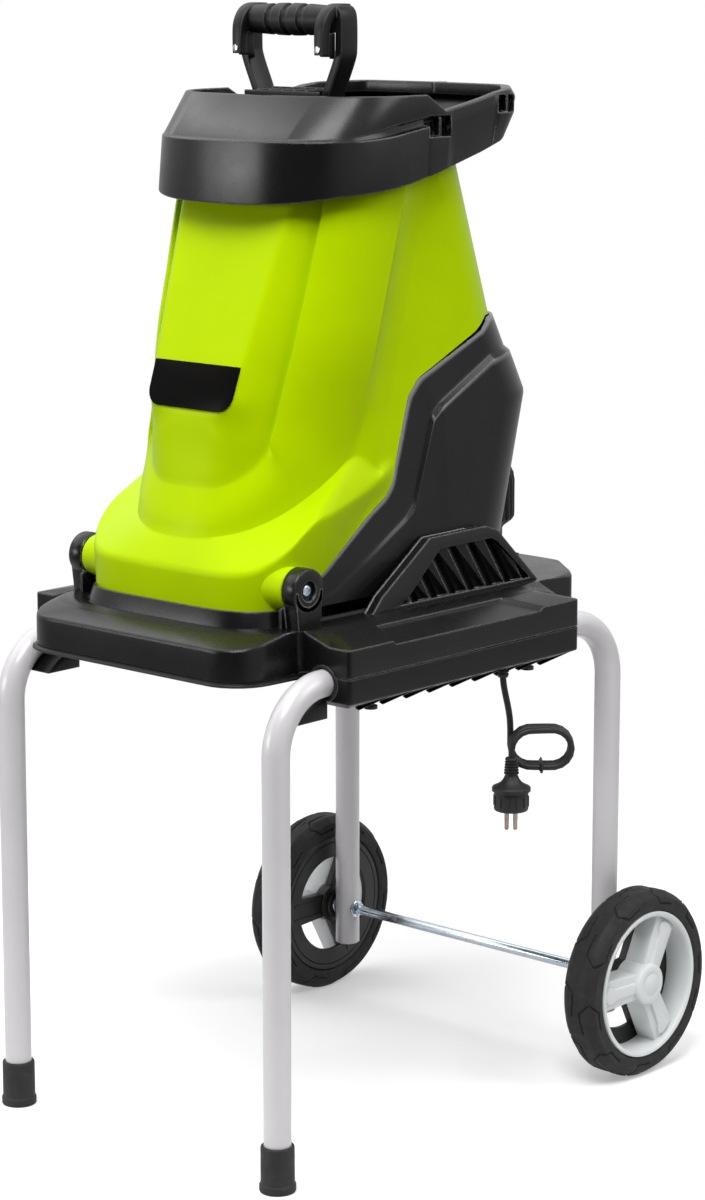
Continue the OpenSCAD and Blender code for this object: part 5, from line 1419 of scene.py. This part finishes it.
make_piece("deck_dressed", Form().add(skin(deck_grid, True)), "base", black_plastic,
           ("upper_housing",), 60)

# %% [markdown]
# The lower half closes the rails from below with a bevel. Thin slanted ribs stand on the bevel
# and a web fills the curve under each front bend. A bead runs along the foot of the flange.

# %% Lower half of the base
bead_wide = base_half(-4.2)
bottom = np.where(on_flange, FLANGE_Z, RAIL_Z)
top_low = np.where(on_flange, FLANGE_Z + 4.4, SEAM_Z - 0.4)
drop = np.where(np.abs(outline[:, 1]) < 174, RAIL_Z - BEVEL_Z - 3.5, 2.0)
edge_low = np.where(on_flange[:, None], bead_wide, outline)
seam_in = np.where(on_flange[:, None], base_half(-0.4), outline)
under_rows = [at(base_half(WALL), top_low), at(seam_in, top_low),
              at(edge_low, np.where(on_flange, FLANGE_Z + 2.6, SEAM_Z - 1.2)),
              at(edge_low, bottom + 0.5), at(base_half(26.0), bottom - drop),
              at(base_half(56.0), bottom - drop), at(base_half(56.0), bottom - drop + 8)]
under_grid = ring_grid(filleted(under_rows, [0.6, 1.0, 1.4, 1.0, 1.0], 3))
under_form = Form().add(skin(under_grid, True))
print("grid of the lower half:", under_grid.shape[0], "rows,", under_grid.shape[1], "columns")

# %% [markdown]
# Ribs, webs and the collars around the tubes repeat on both sides, so one side is built and then
# mirrored before it joins the lower half.

# %% Ribs, webs and tube collars
RIB_LEAN, RIBS, WEB_R = 17.0, 9, 44.9
side_form = Form()
for k in range(RIBS):
    y = lerp(-132, 122, k / (RIBS - 1))
    rib = [(201.0, RAIL_Z + 1), (176.0, BEVEL_Z), (171.0, BEVEL_Z + 1), (171.0, BEVEL_Z + 6),
           (196.0, RAIL_Z + 4)]
    ring = [[(x, y + s * 1.1 + RIB_LEAN * (z - BEVEL_Z) / 14, z) for x, z in rib] for s in (-1, 1)]
    n = len(rib)
    side_form.add((np.array(ring[0] + ring[1]),
                   [[i, (i + 1) % n, n + (i + 1) % n, n + i] for i in range(n)]
                   + [list(range(n))[::-1], list(range(n, 2 * n))]))
web_turn = np.linspace(math.radians(143.2), math.radians(90), 14)
web = [(-175 + WEB_R * math.cos(t), 393 + WEB_R * math.sin(t)) for t in web_turn]
web_outline = np.array([(-172.0, 420.0), (-172.0, 437.9)] + web[::-1][1:])
side_form.add(placed(plate(web_outline, 34.0, 0.8, 2), (141.0, 0, 0), (0, 1, 0), (0, 0, 1)))
TUBE_COLLAR = [(12.7, -3.0), (14.4, -3.0), (16.6, -3.0), (16.6, 0.8), (15.8, 1.5), (14.2, 1.5),
               (13.6, 1.0), (12.7, -3.0)]
collar_points, collar_faces = lathe(TUBE_COLLAR, (0, 0, 0), "y", 48)
for y, turn in ((RAIL_Y, -1), (RAIL_END, 1)):
    side_form.add((collar_points * (1, turn, 1) + (170.0, y, 451.0), collar_faces))
under_form.add(side_form.mirrored().part())
make_piece("under_dressed", under_form, "base", under_plastic, ("lower_housing",), 40)

# %% [markdown]
# ## Hinge ears
# Two ears on the deck hold the hopper's barrels. Each is a turned head with a counterbore for its
# screw, on a leg that runs down to the deck and has a brace at its front.

# %% Hinge ears
EAR_IN, EAR_OUT, EAR_R, BORE_R = 128.0, 144.0, 20.0, 8.6
ears = Form()
head = [(4.4, EAR_IN), (EAR_R - 1, EAR_IN), (EAR_R, EAR_IN + 1), (EAR_R, EAR_OUT - 1.6),
        (EAR_R - 0.5, EAR_OUT - 0.5), (EAR_R - 1.6, EAR_OUT),
        (BORE_R + 0.8, EAR_OUT), (BORE_R, EAR_OUT - 0.8), (BORE_R, EAR_OUT - 5), (4.4, EAR_OUT - 5)]
ears.add(lathe(head, (0, HINGE_Y, HINGE_Z), "x", 72, True))
half_turn = np.linspace(0, -math.pi, 24)
ear_cradle = [(14 * math.cos(t), 14 * math.sin(t)) for t in half_turn]
ear_outline = [(-13.0, -35.0), (15.0, -35.0), (17.5, 0.0)] + ear_cradle + [(-17.5, 0.0)]
ears.add(placed(plate(np.array(ear_outline), EAR_OUT - EAR_IN, 0.7, 2), (EAR_IN, HINGE_Y, HINGE_Z),
                (0, 1, 0), (0, 0, 1)))
brace = rounded_outline([(-6, -34, 0.5), (6, -34, 0.5), (6, -14, 3), (-6, -14, 3)], 3)
ears.add(placed(plate(brace, 3.0, 0.5, 2), (EAR_IN - 2.4, HINGE_Y - 14, HINGE_Z), (0, 1, 0), (0, 0, 1)))
make_piece("hinge_ears", ears.mirrored(), "base", black_plastic,
           ("hinge_bracket_right", "hinge_bracket_left"), 45)

# %% [markdown]
# A cross-headed screw sits inside each ear. Its cross is pressed into a fine polar grid, which
# needs no cutting with another mesh and keeps the round head smooth.

# %% Hinge screws
def cross_head(radius, height, slot=0.9, rings=16, steps=64):
    """Pan head of a cross-recess screw, as points (across, up, out)."""
    r = np.concatenate([np.linspace(0.02, 0.86, rings), [0.95, 1.0, 1.0]]) * radius
    out = np.concatenate([height * (1 - 0.16 * np.linspace(0, 1, rings) ** 2),
                          [height * 0.72, height * 0.45, -0.5]])
    t = np.linspace(0, 2 * np.pi, steps, endpoint=False)
    a, u = r[:, None] * np.cos(t), r[:, None] * np.sin(t)
    arm = radius * 0.62
    cut = ((np.abs(a) < slot) & (np.abs(u) < arm)) | ((np.abs(u) < slot) & (np.abs(a) < arm))
    points, quads = skin(np.stack([a, u, out[:, None] - 0.5 * height * cut], -1)[::-1], True)
    return points, quads.tolist() + [list(range(len(points) - steps, len(points)))]


hinge_bolts = Form().add(placed(cross_head(5.2, 3.2), (EAR_OUT - 5, HINGE_Y, HINGE_Z), (0, 0.94, 0.34),
                                (0, -0.34, 0.94)))
hinge_bolts.add(lathe([(4.0, 104), (4.0, EAR_OUT - 5.1)], (0, HINGE_Y, HINGE_Z), "x", 32))
make_piece("hinge_bolts", hinge_bolts.mirrored(), "base", zinc, ("hinge_screws",), 30)

# %% [markdown]
# ## Vent panels
# A louvred frame leans towards the hopper on each side. Its rim is a ring between two outlines,
# and slanting slats stand behind the opening. A thin black wall closes the back; it stands for the
# hood's back wall and also paints the shade inside the duct, so the gaps between the slats stay dark.

# %% Rims of the vents
VENT_LOW, VENT_LEAN = (141.0, 497.0), unit(np.array([-7.0, 0.0, 56.0]))
VENT_UP = 56.44 / 56.0
RIM_DEEP = 11.0


def vent_outline(corners):
    return rounded_outline([(y, (z - VENT_LOW[1]) * VENT_UP, r) for y, z, r in corners], 5)


rim_outer = vent_outline([(-76, 493.5, 0.5), (-60, 508, 5), (11, 552, 9), (91, 553, 8), (108, 547, 8),
                          (160, 493.5, 0.5)])
rim_inner = vent_outline([(-38, 497, 0.4), (-24, 503, 1.5), (24, 540, 3), (97, 540.5, 2), (105, 537, 2),
                          (148, 497, 0.4)])


def layer(points, out):
    return np.c_[points, np.full(len(points), out)]


rim_grid = filleted([layer(rim_outer, -RIM_DEEP), layer(rim_outer, 0.0), layer(rim_inner, 0.0),
                     layer(rim_inner, -7.0)], [1.3, 0.8], 4)
vent_parts = Form()


def lay_vent(part):
    vent_parts.add(placed(part, (VENT_LOW[0], 0, VENT_LOW[1]), (0, 1, 0), VENT_LEAN))


rim_points, rim_quads = skin(rim_grid, True)
lay_vent((rim_points, rim_quads.tolist()))
print("points around a rim:", rim_grid.shape[1])

# %% [markdown]
# Seven slats lean forward, and each is turned a little about its length, which sets it off from
# the rim. Those at the front are shorter, because the rim slopes down there.

# %% Slats, and the wall behind them that paints the shade of the duct
SHADE_WALL_T = 1.0
SLAT_W, SLAT_PITCH, SLAT_LEAN, SLAT_TURN, SLAT_FOOT, SLAT_TOP = 13.0, 26.5, 0.55, 0.26, 494.0, 545.0
# A black wall behind the slats stands in for the shade inside the duct.
shade_wall_points, shade_wall_faces = plate(inset(rim_outer, 0.6), SHADE_WALL_T, 0.2, 1)
lay_vent((shade_wall_points - (0, 0, RIM_DEEP), shade_wall_faces))
for k in range(-3, 4):
    foot = 49 + SLAT_PITCH * k
    top = min(SLAT_TOP, 0.61 * foot + 527.5)
    head = foot - SLAT_LEAN * (top - SLAT_FOOT)
    corners = [(foot, SLAT_FOOT, 0.3), (foot + SLAT_W, SLAT_FOOT, 0.3), (head + SLAT_W, top, 0.3),
               (head, top, 0.3)]
    points, faces = plate(vent_outline(corners), 2.4, 0.4, 1)
    middle = foot + SLAT_W / 2 - SLAT_LEAN * (points[:, 1] / VENT_UP + VENT_LOW[1] - SLAT_FOOT)
    points[:, 2] += SLAT_TURN * (points[:, 0] - middle) - 6.4
    lay_vent((points, faces))
make_piece("vent_frames", vent_parts.mirrored(), "base", black_plastic,
           ("vent_panel_right", "vent_panel_left"), 45)

# %% [markdown]
# ## Lock knob
# The hopper is held down by a large knob at the rear. Its rim is fluted, and the flutes slant a
# little, so the radius follows a wave that turns with the height.

# %% Lock knob
KNOB_AT, KNOB_LOW, FLUTES, FLUTE_DEEP, TWIST, KNOB_STRETCH = (0.0, 230.0), 505.3, 28, 3.2, 0.30, 1.25
knob_profile = [(7.0, 0), (29.0, 0), (30.0, 1.0), (30.0, 13), (32.0, 15.5), (39.5, 20), (41.5, 22),
                (42.0, 25), (42.0, 52), (41.0, 57), (38.0, 62),
                (33.0, 66), (26.0, 68.4), (14.0, 69.4), (4.0, 69.6)]
turn = np.linspace(0, 2 * np.pi, FLUTES * 12, endpoint=False)
knob_rows = []
for r, h in knob_profile:
    h = min(h, 13) + KNOB_STRETCH * max(0, h - 13)
    wave = np.abs(np.sin((turn + TWIST * (h - 38) / 40) * FLUTES / 2)) ** 0.7
    rr = r - FLUTE_DEEP * (1 - wave) * (1.0 if 21 < h < 77 else 0.0)
    knob_rows.append(np.stack([KNOB_AT[0] + rr * np.cos(turn), KNOB_AT[1] + rr * np.sin(turn),
                               KNOB_LOW + h + 0 * turn], 1))
knob_points, knob_quads = skin(np.array(knob_rows), True)
knob_faces = knob_quads.tolist() + [list(range(len(turn)))[::-1],
                                    list(range(len(knob_points) - len(turn), len(knob_points)))]
make_piece("knob_dressed", Form().add((knob_points, knob_faces)), "lock",
           handle_plastic, ("lock_knob",), 50)

# %% [markdown]
# ## Stand
# Four legs are bent from one steel tube size and painted light grey. Each is a round section
# drawn along a straight, a bend and a second straight. The front feet wear rubber caps.

# %% Legs
TUBE_R, BEND_R, LEG_X, LEG_Y, TUBE_Z, INSERT = 12.5, 58.0, 170.0, 233.0, 451.0, 85.0
TUBE_END = [(0.5, 1.2), (TUBE_R - 2.6, 1.0), (TUBE_R - 1.2, 0.4), (TUBE_R - 0.02, 1.6)]


def leg_path(side, front, low):
    """Middle line of a leg, from its foot to its end inside the rail."""
    bend = [(LEG_Y - BEND_R + BEND_R * math.cos(t), TUBE_Z - BEND_R + BEND_R * math.sin(t))
            for t in np.linspace(0, math.pi / 2, 22)]
    upright = [(LEG_Y, z) for z in np.linspace(low, TUBE_Z - BEND_R, 14)]
    inside = [(y, TUBE_Z) for y in np.linspace(LEG_Y - BEND_R, LEG_Y - BEND_R - INSERT, 6)[1:]]
    return [(side * LEG_X, (-y if front else y), z) for y, z in upright + bend[1:] + inside]


for name, side, front, low in (("front_right", 1, True, 6.0), ("front_left", -1, True, 6.0),
                               ("rear_right", 1, False, 55.5), ("rear_left", -1, False, 55.5)):
    path = leg_path(side, front, low)
    leg = Form().add(sweep(path, disc(TUBE_R, 40), caps=False))
    leg.add(lathe(TUBE_END[::-1], np.array(path[0]) - (0, 0, 1.4), "z", 40))
    make_piece(f"tube_{name}", leg, "base", tube_paint, (f"leg_{name}",), 45)

# %% [markdown]
# A cap is one turned profile: a wider sole, a long sleeve and a lip close around the tube.

# %% Foot caps
FOOT = [(2.0, 0.0), (14.6, 0.0), (15.9, 0.5), (16.5, 1.8), (16.5, 6.6), (16.1, 7.6), (15.5, 8.2),
        (15.3, 9.0), (15.3, 40.6), (15.0, 42.2), (14.2, 43.0), (12.9, 43.0), (12.6, 42.2), (12.6, 34.0)]
caps = Form()
for side in (1, -1):
    caps.add(lathe(FOOT, (side * LEG_X, -LEG_Y, 0), "z", 56))
make_piece("feet_dressed", caps, "base", foot_rubber, ("foot_caps",), 40)

# %% [markdown]
# ## Axle
# A zinc-plated rod joins the rear legs and carries the wheels. Bright washers with nuts sit on
# both sides of each tube, and a small pin is set through the rod near its middle.

# %% Axle and washers
AXLE_Y, AXLE_Z, AXLE_R = 233.0, 92.5, 5.0
rod = Form().add(lathe([(AXLE_R - 0.8, -224.4), (AXLE_R, -223.4), (AXLE_R, 223.4), (AXLE_R - 0.8, 224.4)],
                       (0, AXLE_Y, AXLE_Z), "x", 40))
rod.add(lathe([(1.1, -5.15), (1.7, -5.1), (1.7, 5.1), (1.1, 5.15)], (6.0, AXLE_Y, AXLE_Z), "y", 20))
make_piece("axle_rod", rod, "base", zinc, ("axle",), 40)
washers = Form()
WASHER = [(AXLE_R + 0.2, 0), (8.4, 0), (8.9, 0.5), (8.9, 1.6), (8.4, 2.1), (AXLE_R + 0.2, 2.1)]
NUT = [(AXLE_R + 0.2, 2.0), (6.6, 2.0), (6.9, 2.3), (6.9, 4.0), (6.4, 4.4), (AXLE_R + 0.2, 4.4)]
for x in (LEG_X - TUBE_R - 1.6, LEG_X + TUBE_R - 0.6):
    nut_x = x - (6.2 if x < LEG_X else 0)
    washers.add(lathe(WASHER, (x, AXLE_Y, AXLE_Z), "x", 40, True))
    washers.add(lathe(NUT, (nut_x, AXLE_Y, AXLE_Z), "x", 6, True))
make_piece("washers_dressed", washers.mirrored(), "base", zinc, ("axle_washers",), 30)

# %% [markdown]
# ## Wheels
# The solid rubber tyres have a flat tread, a chamfered shoulder and shallow moulded grooves in
# the shape of an open hexagon over each shoulder. The grooves are pressed into a dense grid: the
# distance of each point from the groove's line decides how deep it lies.

# %% Grooves of the tread
WHEEL_AT, TYRE_MID = (0.0, 233.0, 92.5), 208.5
GROOVE_W, GROOVE_D, MOTIFS = 0.85, 1.5, 10
HALF_PROFILE = [(92.5, 0), (92.5, 9.6), (92.1, 11.2), (91.4, 12.4), (87.3, 17.6), (86.2, 18.6),
                (84.6, 19.0), (76.0, 18.6), (73.4, 18.0), (72.4, 16.4)]


def groove_depth(along, across):
    """Depth of the tread grooves at places along the rim and across it from the tread's middle."""
    line = [(-21, 5.0), (0, 4.0), (10, 14.6), (0, 27.0), (-19, 26.0)]
    near = np.full(np.broadcast(along, across).shape, 99.0)
    for (a0, b0), (a1, b1) in zip(line, line[1:]):
        da, db = a1 - a0, b1 - b0
        t = np.clip(((along - a0) * da + (across - b0) * db) / (da * da + db * db), 0, 1)
        near = np.minimum(near, np.hypot(along - a0 - t * da, across - b0 - t * db))
    return GROOVE_D * np.clip((GROOVE_W - near) / 0.5 + 0.5, 0, 1)


print("depth on a groove's line:", float(groove_depth(np.array(0.0), np.array(4.0))), "mm")

# %% [markdown]
# Each half of the tyre is a grid around the axle. The grooves lower its radius on the tread and
# its width on the shoulder, and both halves join in the middle of the tread.

# %% Tyres
def tyre_form(side, steps=720, rows=64):
    """A tyre on one side of the machine: two grids with the grooves pressed in."""
    half_line = np.array(HALF_PROFILE, float)
    reach = np.concatenate([[0], np.cumsum(np.hypot(*np.diff(half_line, axis=0).T))])
    v = np.concatenate([np.linspace(0, 30, rows - 6), np.linspace(30, reach[-1], 7)[1:]])
    r, w = np.interp(v, reach, half_line[:, 0]), np.interp(v, reach, half_line[:, 1])
    angle = np.linspace(0, 2 * np.pi, steps, endpoint=False)
    halves = []
    for face in (1, -1):
        sector = 2 * np.pi / MOTIFS
        phase = (angle + (0.3 if face > 0 else 0.62) * sector) % (2 * np.pi)
        local = (phase % sector - sector / 2) * 88
        upper = np.floor(phase / sector) % MOTIFS < MOTIFS / 2
        local = np.where(upper, local, -local)
        deep = groove_depth(local[None, :], v[:, None])
        block = 0.45 * np.tanh(6 * np.sin(angle * MOTIFS + 0.7 * face))[None, :]
        block = block * np.clip((20 - v[:, None]) / 8, 0, 1)
        rr = r[:, None] - deep * np.clip((26 - v[:, None]) / 6, 0, 1) + np.minimum(block, 0)
        ww = w[:, None] - deep * np.clip((v[:, None] - 14) / 8, 0, 1)
        grid = np.stack([side * TYRE_MID + side * face * ww, rr * np.cos(angle), rr * np.sin(angle)], -1)
        halves.append(grid)
    whole = np.concatenate([halves[0][::-1], halves[1][1:]])
    closed = np.concatenate([whole, whole[:1]])
    return Form().add(skin(closed + np.array(WHEEL_AT), True))


for side, name in ((1, "right"), (-1, "left")):
    make_piece(f"tyre_dressed_{name}", tyre_form(side), f"wheel_{name}", tyre_rubber,
               (f"tyre_{name}",), 40)

# %% [markdown]
# The wheel itself is two mouldings: a black core that carries the tyre, and a light grey cover
# with a deep rim and three box-shaped spokes. The spokes point forward, up and back, and down
# and back, and each carries a raised bar.

# %% Profiles and spokes of the wheels
SPOKES = [math.radians(a) for a in (180, 60, -60)]
COVER_RIM = [(69.2, 222.0), (71.2, 223.0), (72.0, 224.6), (72.0, 226.6), (71.3, 227.5), (68.6, 227.5),
             (67.4, 226.6), (66.6, 224.0), (65.2, 199.0), (67.2, 199.0)]
HUB = [(19.0, 199.0), (20.4, 200.0), (20.4, 226.0), (19.8, 228.2), (18.2, 229.4), (12.4, 229.9),
       (11.6, 229.5), (10.8, 229.5), (10.2, 230.0), (0.6, 230.4)]
CORE_RIM = [(72.3, 221.8), (72.3, 192.0), (71.0, 190.6), (66.6, 190.6), (66.0, 191.8), (65.4, 190.6),
            (51.0, 190.6), (50.0, 191.6), (50.0, 195.0), (64.0, 197.4), (68.6, 199.5), (69.0, 221.8)]
CORE_HUB = [(5.3, 183.5), (13.4, 183.5), (14.4, 184.5), (14.4, 188.0), (19.5, 189.0), (19.5, 198.8),
            (5.3, 198.8)]


def spoke(outline, low, depth, edge, angle, bow=0.0):
    """A plate across the wheel, with its length along a spoke's direction."""
    points, faces = plate(outline, depth, edge, 3)
    points[:, 2] += bow * (points[:, 0] / 66.0) ** 2 * (points[:, 2] > depth * 0.4)
    along, up = (0, math.cos(angle), math.sin(angle)), (0, -math.sin(angle), math.cos(angle))
    return placed((points, faces), (low, WHEEL_AT[1], WHEEL_AT[2]), along, up)


spoke_outline = rounded_outline([(9, -12.5, 1), (66.2, -15.5, 1), (66.2, 15.5, 1), (9, 12.5, 1)], 2)
bar_outline = rounded_outline([(17, -5.2, 2), (50, -6.0, 2), (54, -8.5, 3), (63.5, -8.5, 6),
                               (63.5, 8.5, 6), (54, 8.5, 3), (50, 6.0, 2), (17, 5.2, 2)], 3)
back_outline = rounded_outline([(9, -12.0, 1), (62.0, -15.0, 1), (62.0, 15.0, 1), (9, 12.0, 1)], 2)
print("points around a spoke:", len(spoke_outline), "and its bar:", len(bar_outline))

# %% [markdown]
# Cover and core are built in the right wheel's place. For the left wheel they are mirrored, and
# their faces are turned round so that they still look outwards.

# %% Wheel covers and cores
for side, name in ((1, "right"), (-1, "left")):
    cover, core = Form(), Form()
    cover.add(lathe(COVER_RIM, WHEEL_AT, "x", 120, True)).add(lathe(HUB, WHEEL_AT, "x", 64))
    core.add(lathe(CORE_RIM, WHEEL_AT, "x", 96, True)).add(lathe(CORE_HUB, WHEEL_AT, "x", 48, True))
    for angle in SPOKES:
        cover.add(spoke(spoke_outline, 199.0, 25.0, 1.6, angle, -3.0))
        cover.add(spoke(bar_outline, 215.0, 11.4, 1.0, angle, -3.0))
        core.add(spoke(back_outline, 190.8, 8.4, 0.6, angle))
        for offset in (-7.5, 7.5):
            rib = rounded_outline([(20, offset - 0.8, 0.3), (60, offset - 0.8, 0.3),
                                   (60, offset + 0.8, 0.3), (20, offset + 0.8, 0.3)], 1)
            core.add(spoke(rib, 189.6, 2.0, 0.3, angle))
    for form, label, slot, finish, node in ((cover, "rim", "wheel_grey", wheel_grey, "wheel_cover"),
                                            (core, "hub", "wheel_black", wheel_black, "wheel_core")):
        points, faces = form.part()
        turned = Form().add((points * (side, 1, 1), [f[::-1] for f in faces] if side < 0 else faces))
        make_piece(f"{label}_dressed_{name}", turned, f"wheel_{name}", finish,
                   (f"{node}_{name}",), 40)

# %% [markdown]
# ## Pusher
# A plunger with a bow handle pushes branches down the chute. Two posts rise from its paddle, arms
# curve forward from their tops, and a barrel-shaped grip sits between the arms. The paddle's top
# is stiffened with thin ribs.

# %% Blocks, straps and curves
def block(low, high, edge=1.2):
    """A box with rounded edges between two corners."""
    (x0, y0, z0), (x1, y1, z1) = low, high
    outline = rounded_outline([(x0, y0, edge), (x1, y0, edge), (x1, y1, edge), (x0, y1, edge)], 3)
    return placed(plate(outline, z1 - z0, edge, 3), (0, 0, z0), (1, 0, 0), (0, 1, 0))


def strap(path, widths, thick, edge=1.4):
    """A band with rounded edges along a path, with its own direction and width at each point."""
    path = np.asarray(path, float)
    ahead = np.gradient(path, axis=0)
    ahead /= np.linalg.norm(ahead, axis=1)[:, None]
    rings = []
    for p, t, (across, wide) in zip(path, ahead, widths):
        across = np.asarray(across, float)
        other = np.cross(t, across)
        other /= np.linalg.norm(other)
        section = rounded_outline([(-wide / 2, -thick / 2, edge), (wide / 2, -thick / 2, edge),
                                   (wide / 2, thick / 2, edge), (-wide / 2, thick / 2, edge)], 2)
        rings.append(p + section[:, :1] * across + section[:, 1:] * other)
    points, quads = skin(np.array(rings), True)
    n = len(rings[0])
    return points, quads.tolist() + [list(range(n))[::-1], list(range(len(points) - n, len(points)))]


def smooth_path(points, count):
    """A curve along points, with its corners rounded off."""
    p = np.asarray(points, float)
    for _ in range(3):
        q = [p[0]]
        for a, b in zip(p, p[1:]):
            q += [lerp(a, b, 0.25), lerp(a, b, 0.75)]
        p = np.array(q + [p[-1]])
    s = np.concatenate([[0], np.cumsum(np.linalg.norm(np.diff(p, axis=0), axis=1))])
    at_s = np.linspace(0, s[-1], count)
    return np.stack([np.interp(at_s, s, p[:, k]) for k in range(3)], 1)


print("points of a block:", len(block((0, 0, 0), (9, 9, 9))[0]))

# %% [markdown]
# The posts and arms are straps along rounded paths, built for the right side and mirrored. The
# finished handle is drawn in a little across and lifted, which keeps its feet on the paddle.

# %% Handle frame
X_WAY, Y_WAY = (1, 0, 0), (0, 1, 0)
handle = Form()
post = smooth_path([(43, -20, 944), (46, -20, 952), (63.0, -20, 984), (63.6, -20, 992), (63.6, -20, 1016),
                    (62.0, -21, 1022.5), (55, -22, 1023.4)], 44)
handle.add(strap(post, [(Y_WAY, 22.0)] * len(post), 9.0))
arm = smooth_path([(55.5, -14, 1023.6), (55.5, -26, 1024.0), (55.3, -36, 1021), (55.0, -43, 1012),
                   (54.7, -44.5, 1002), (54.7, -44.5, 985.5)], 40)
handle.add(strap(arm, [(X_WAY, lerp(15.0, 10.5, k / 39)) for k in range(40)], 9.5))
handle.add(block((49.6, -42, 984.0), (59.2, -30, 1004), 1.0))
web = smooth_path([(52.0, -31, 986), (57, -26, 985), (63.0, -22, 985)], 10)
handle.add(strap(web, [((0, 0, 1), 7.0)] * 10, 7.0))
handle.mirrored()
HANDLE_WIDE, HANDLE_HIGH, HANDLE_LOW = 0.93, 1.06, 950.0


def drawn_in(points):
    """Handle points drawn in a little across and lifted above the paddle."""
    lifted = HANDLE_LOW + (points[:, 2] - HANDLE_LOW) * HANDLE_HIGH
    return np.stack([points[:, 0] * HANDLE_WIDE, points[:, 1], np.maximum(points[:, 2], lifted)], 1)


handle.points = [drawn_in(p) for p in handle.points]
print("handle parts:", len(handle.points))

# %% [markdown]
# The paddle is a tray with ribs above a long plunger, and a wide flange stops it on the chute.

# %% Paddle
PADDLE_RIBS = 5
handle.add(block((-46, -44, 941), (46, -8, 950), 1.2))
for k in range(PADDLE_RIBS):
    x = lerp(-30, 30, k / (PADDLE_RIBS - 1))
    handle.add(block((x - 0.9, -43, 949), (x + 0.9, -9, 956), 0.4))
for low, high, edge in (((-46, -12, 948), (46, -8, 957), 0.8), ((-46, -44, 948), (46, -41, 955), 0.8),
                        ((-42, -43, 733), (42, -13, 946), 3.0), ((-105, -43, 908.2), (105, -13, 914), 1.2)):
    handle.add(block(low, high, edge))
make_piece("pusher_dressed", handle, "pusher", handle_plastic, ("pusher_frame",), 40)

# %% [markdown]
# The grip is turned, a little thicker in its middle, with three grooves around it. A small screw
# sits in the front of each arm.

# %% Grip and screws
GRIP_Y, GRIP_Z = -28.0, 1014.8
grip_x = np.linspace(-52, 52, 209)
grip_r = 11.6 + 2.3 * np.cos(np.pi * grip_x / 112)
for x in (-21.0, 0.0, 21.0):
    grip_r -= 2.2 * np.clip((4.2 - np.abs(grip_x - x)) / 0.6 + 0.5, 0, 1)
grip = lathe(np.c_[grip_r, grip_x], (0, GRIP_Y, GRIP_Z), "x", 56)
make_piece("grip_dressed", Form().add((drawn_in(grip[0]), grip[1])), "pusher",
           handle_plastic, ("pusher_grip",), 40)
bolts = Form().add(placed(cross_head(3.2, 1.4, 0.55), (54.7, -49.3, 990.0), (1, 0, 0), (0, 0, 1)))
bolts.mirrored()
bolts.points = [drawn_in(p) for p in bolts.points]
make_piece("handle_screws", bolts, "pusher", zinc, ("pusher_screws",), 30)

# %% [markdown]
# ## Pieces kept from the drawing
# The drive, the switches and the small screws sit inside or under the machine, and the drawing
# already has their true shapes. They keep those shapes and only get their finishes: bare steel
# for the shaft and the disc, copper on the armature, a dull grey casting for the motor case.

# %% Finishes for the kept pieces
blackened = plated("blackened_screw", srgb(70, 71, 73), srgb(52, 53, 55), 0.34)
KEPT = (
    (blackened, ("leg_screws", "housing_screws", "hopper_screws", "lock_post", "lock_bracket")),
    (steel, ("chamber_plate", "blade_shaft", "shaft_bearings", "blade_disc", "blades", "lock_screw")),
    (zinc, ("blade_screws",)),
    (motor_metal, ("motor_case", "motor_pulley", "blade_pulley")),
    (copper, ("motor_armature",)),
    (belt_rubber, ("drive_belt",)),
    (under_plastic, ("belt_cover", "switch_box", "safety_switch")),
    (switch_red, ("power_rocker", "reset_button")),
    (switch_white, ("safety_plunger",)))
for finish, names in KEPT:
    for name in names:
        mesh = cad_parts[name].data
        mesh.materials.clear()
        mesh.materials.append(finish)
print("finishes on", sum(len(names) for _, names in KEPT), "kept pieces")

# %% [markdown]
# ## Last steps
# The visual model should stay close to the drawing's box.
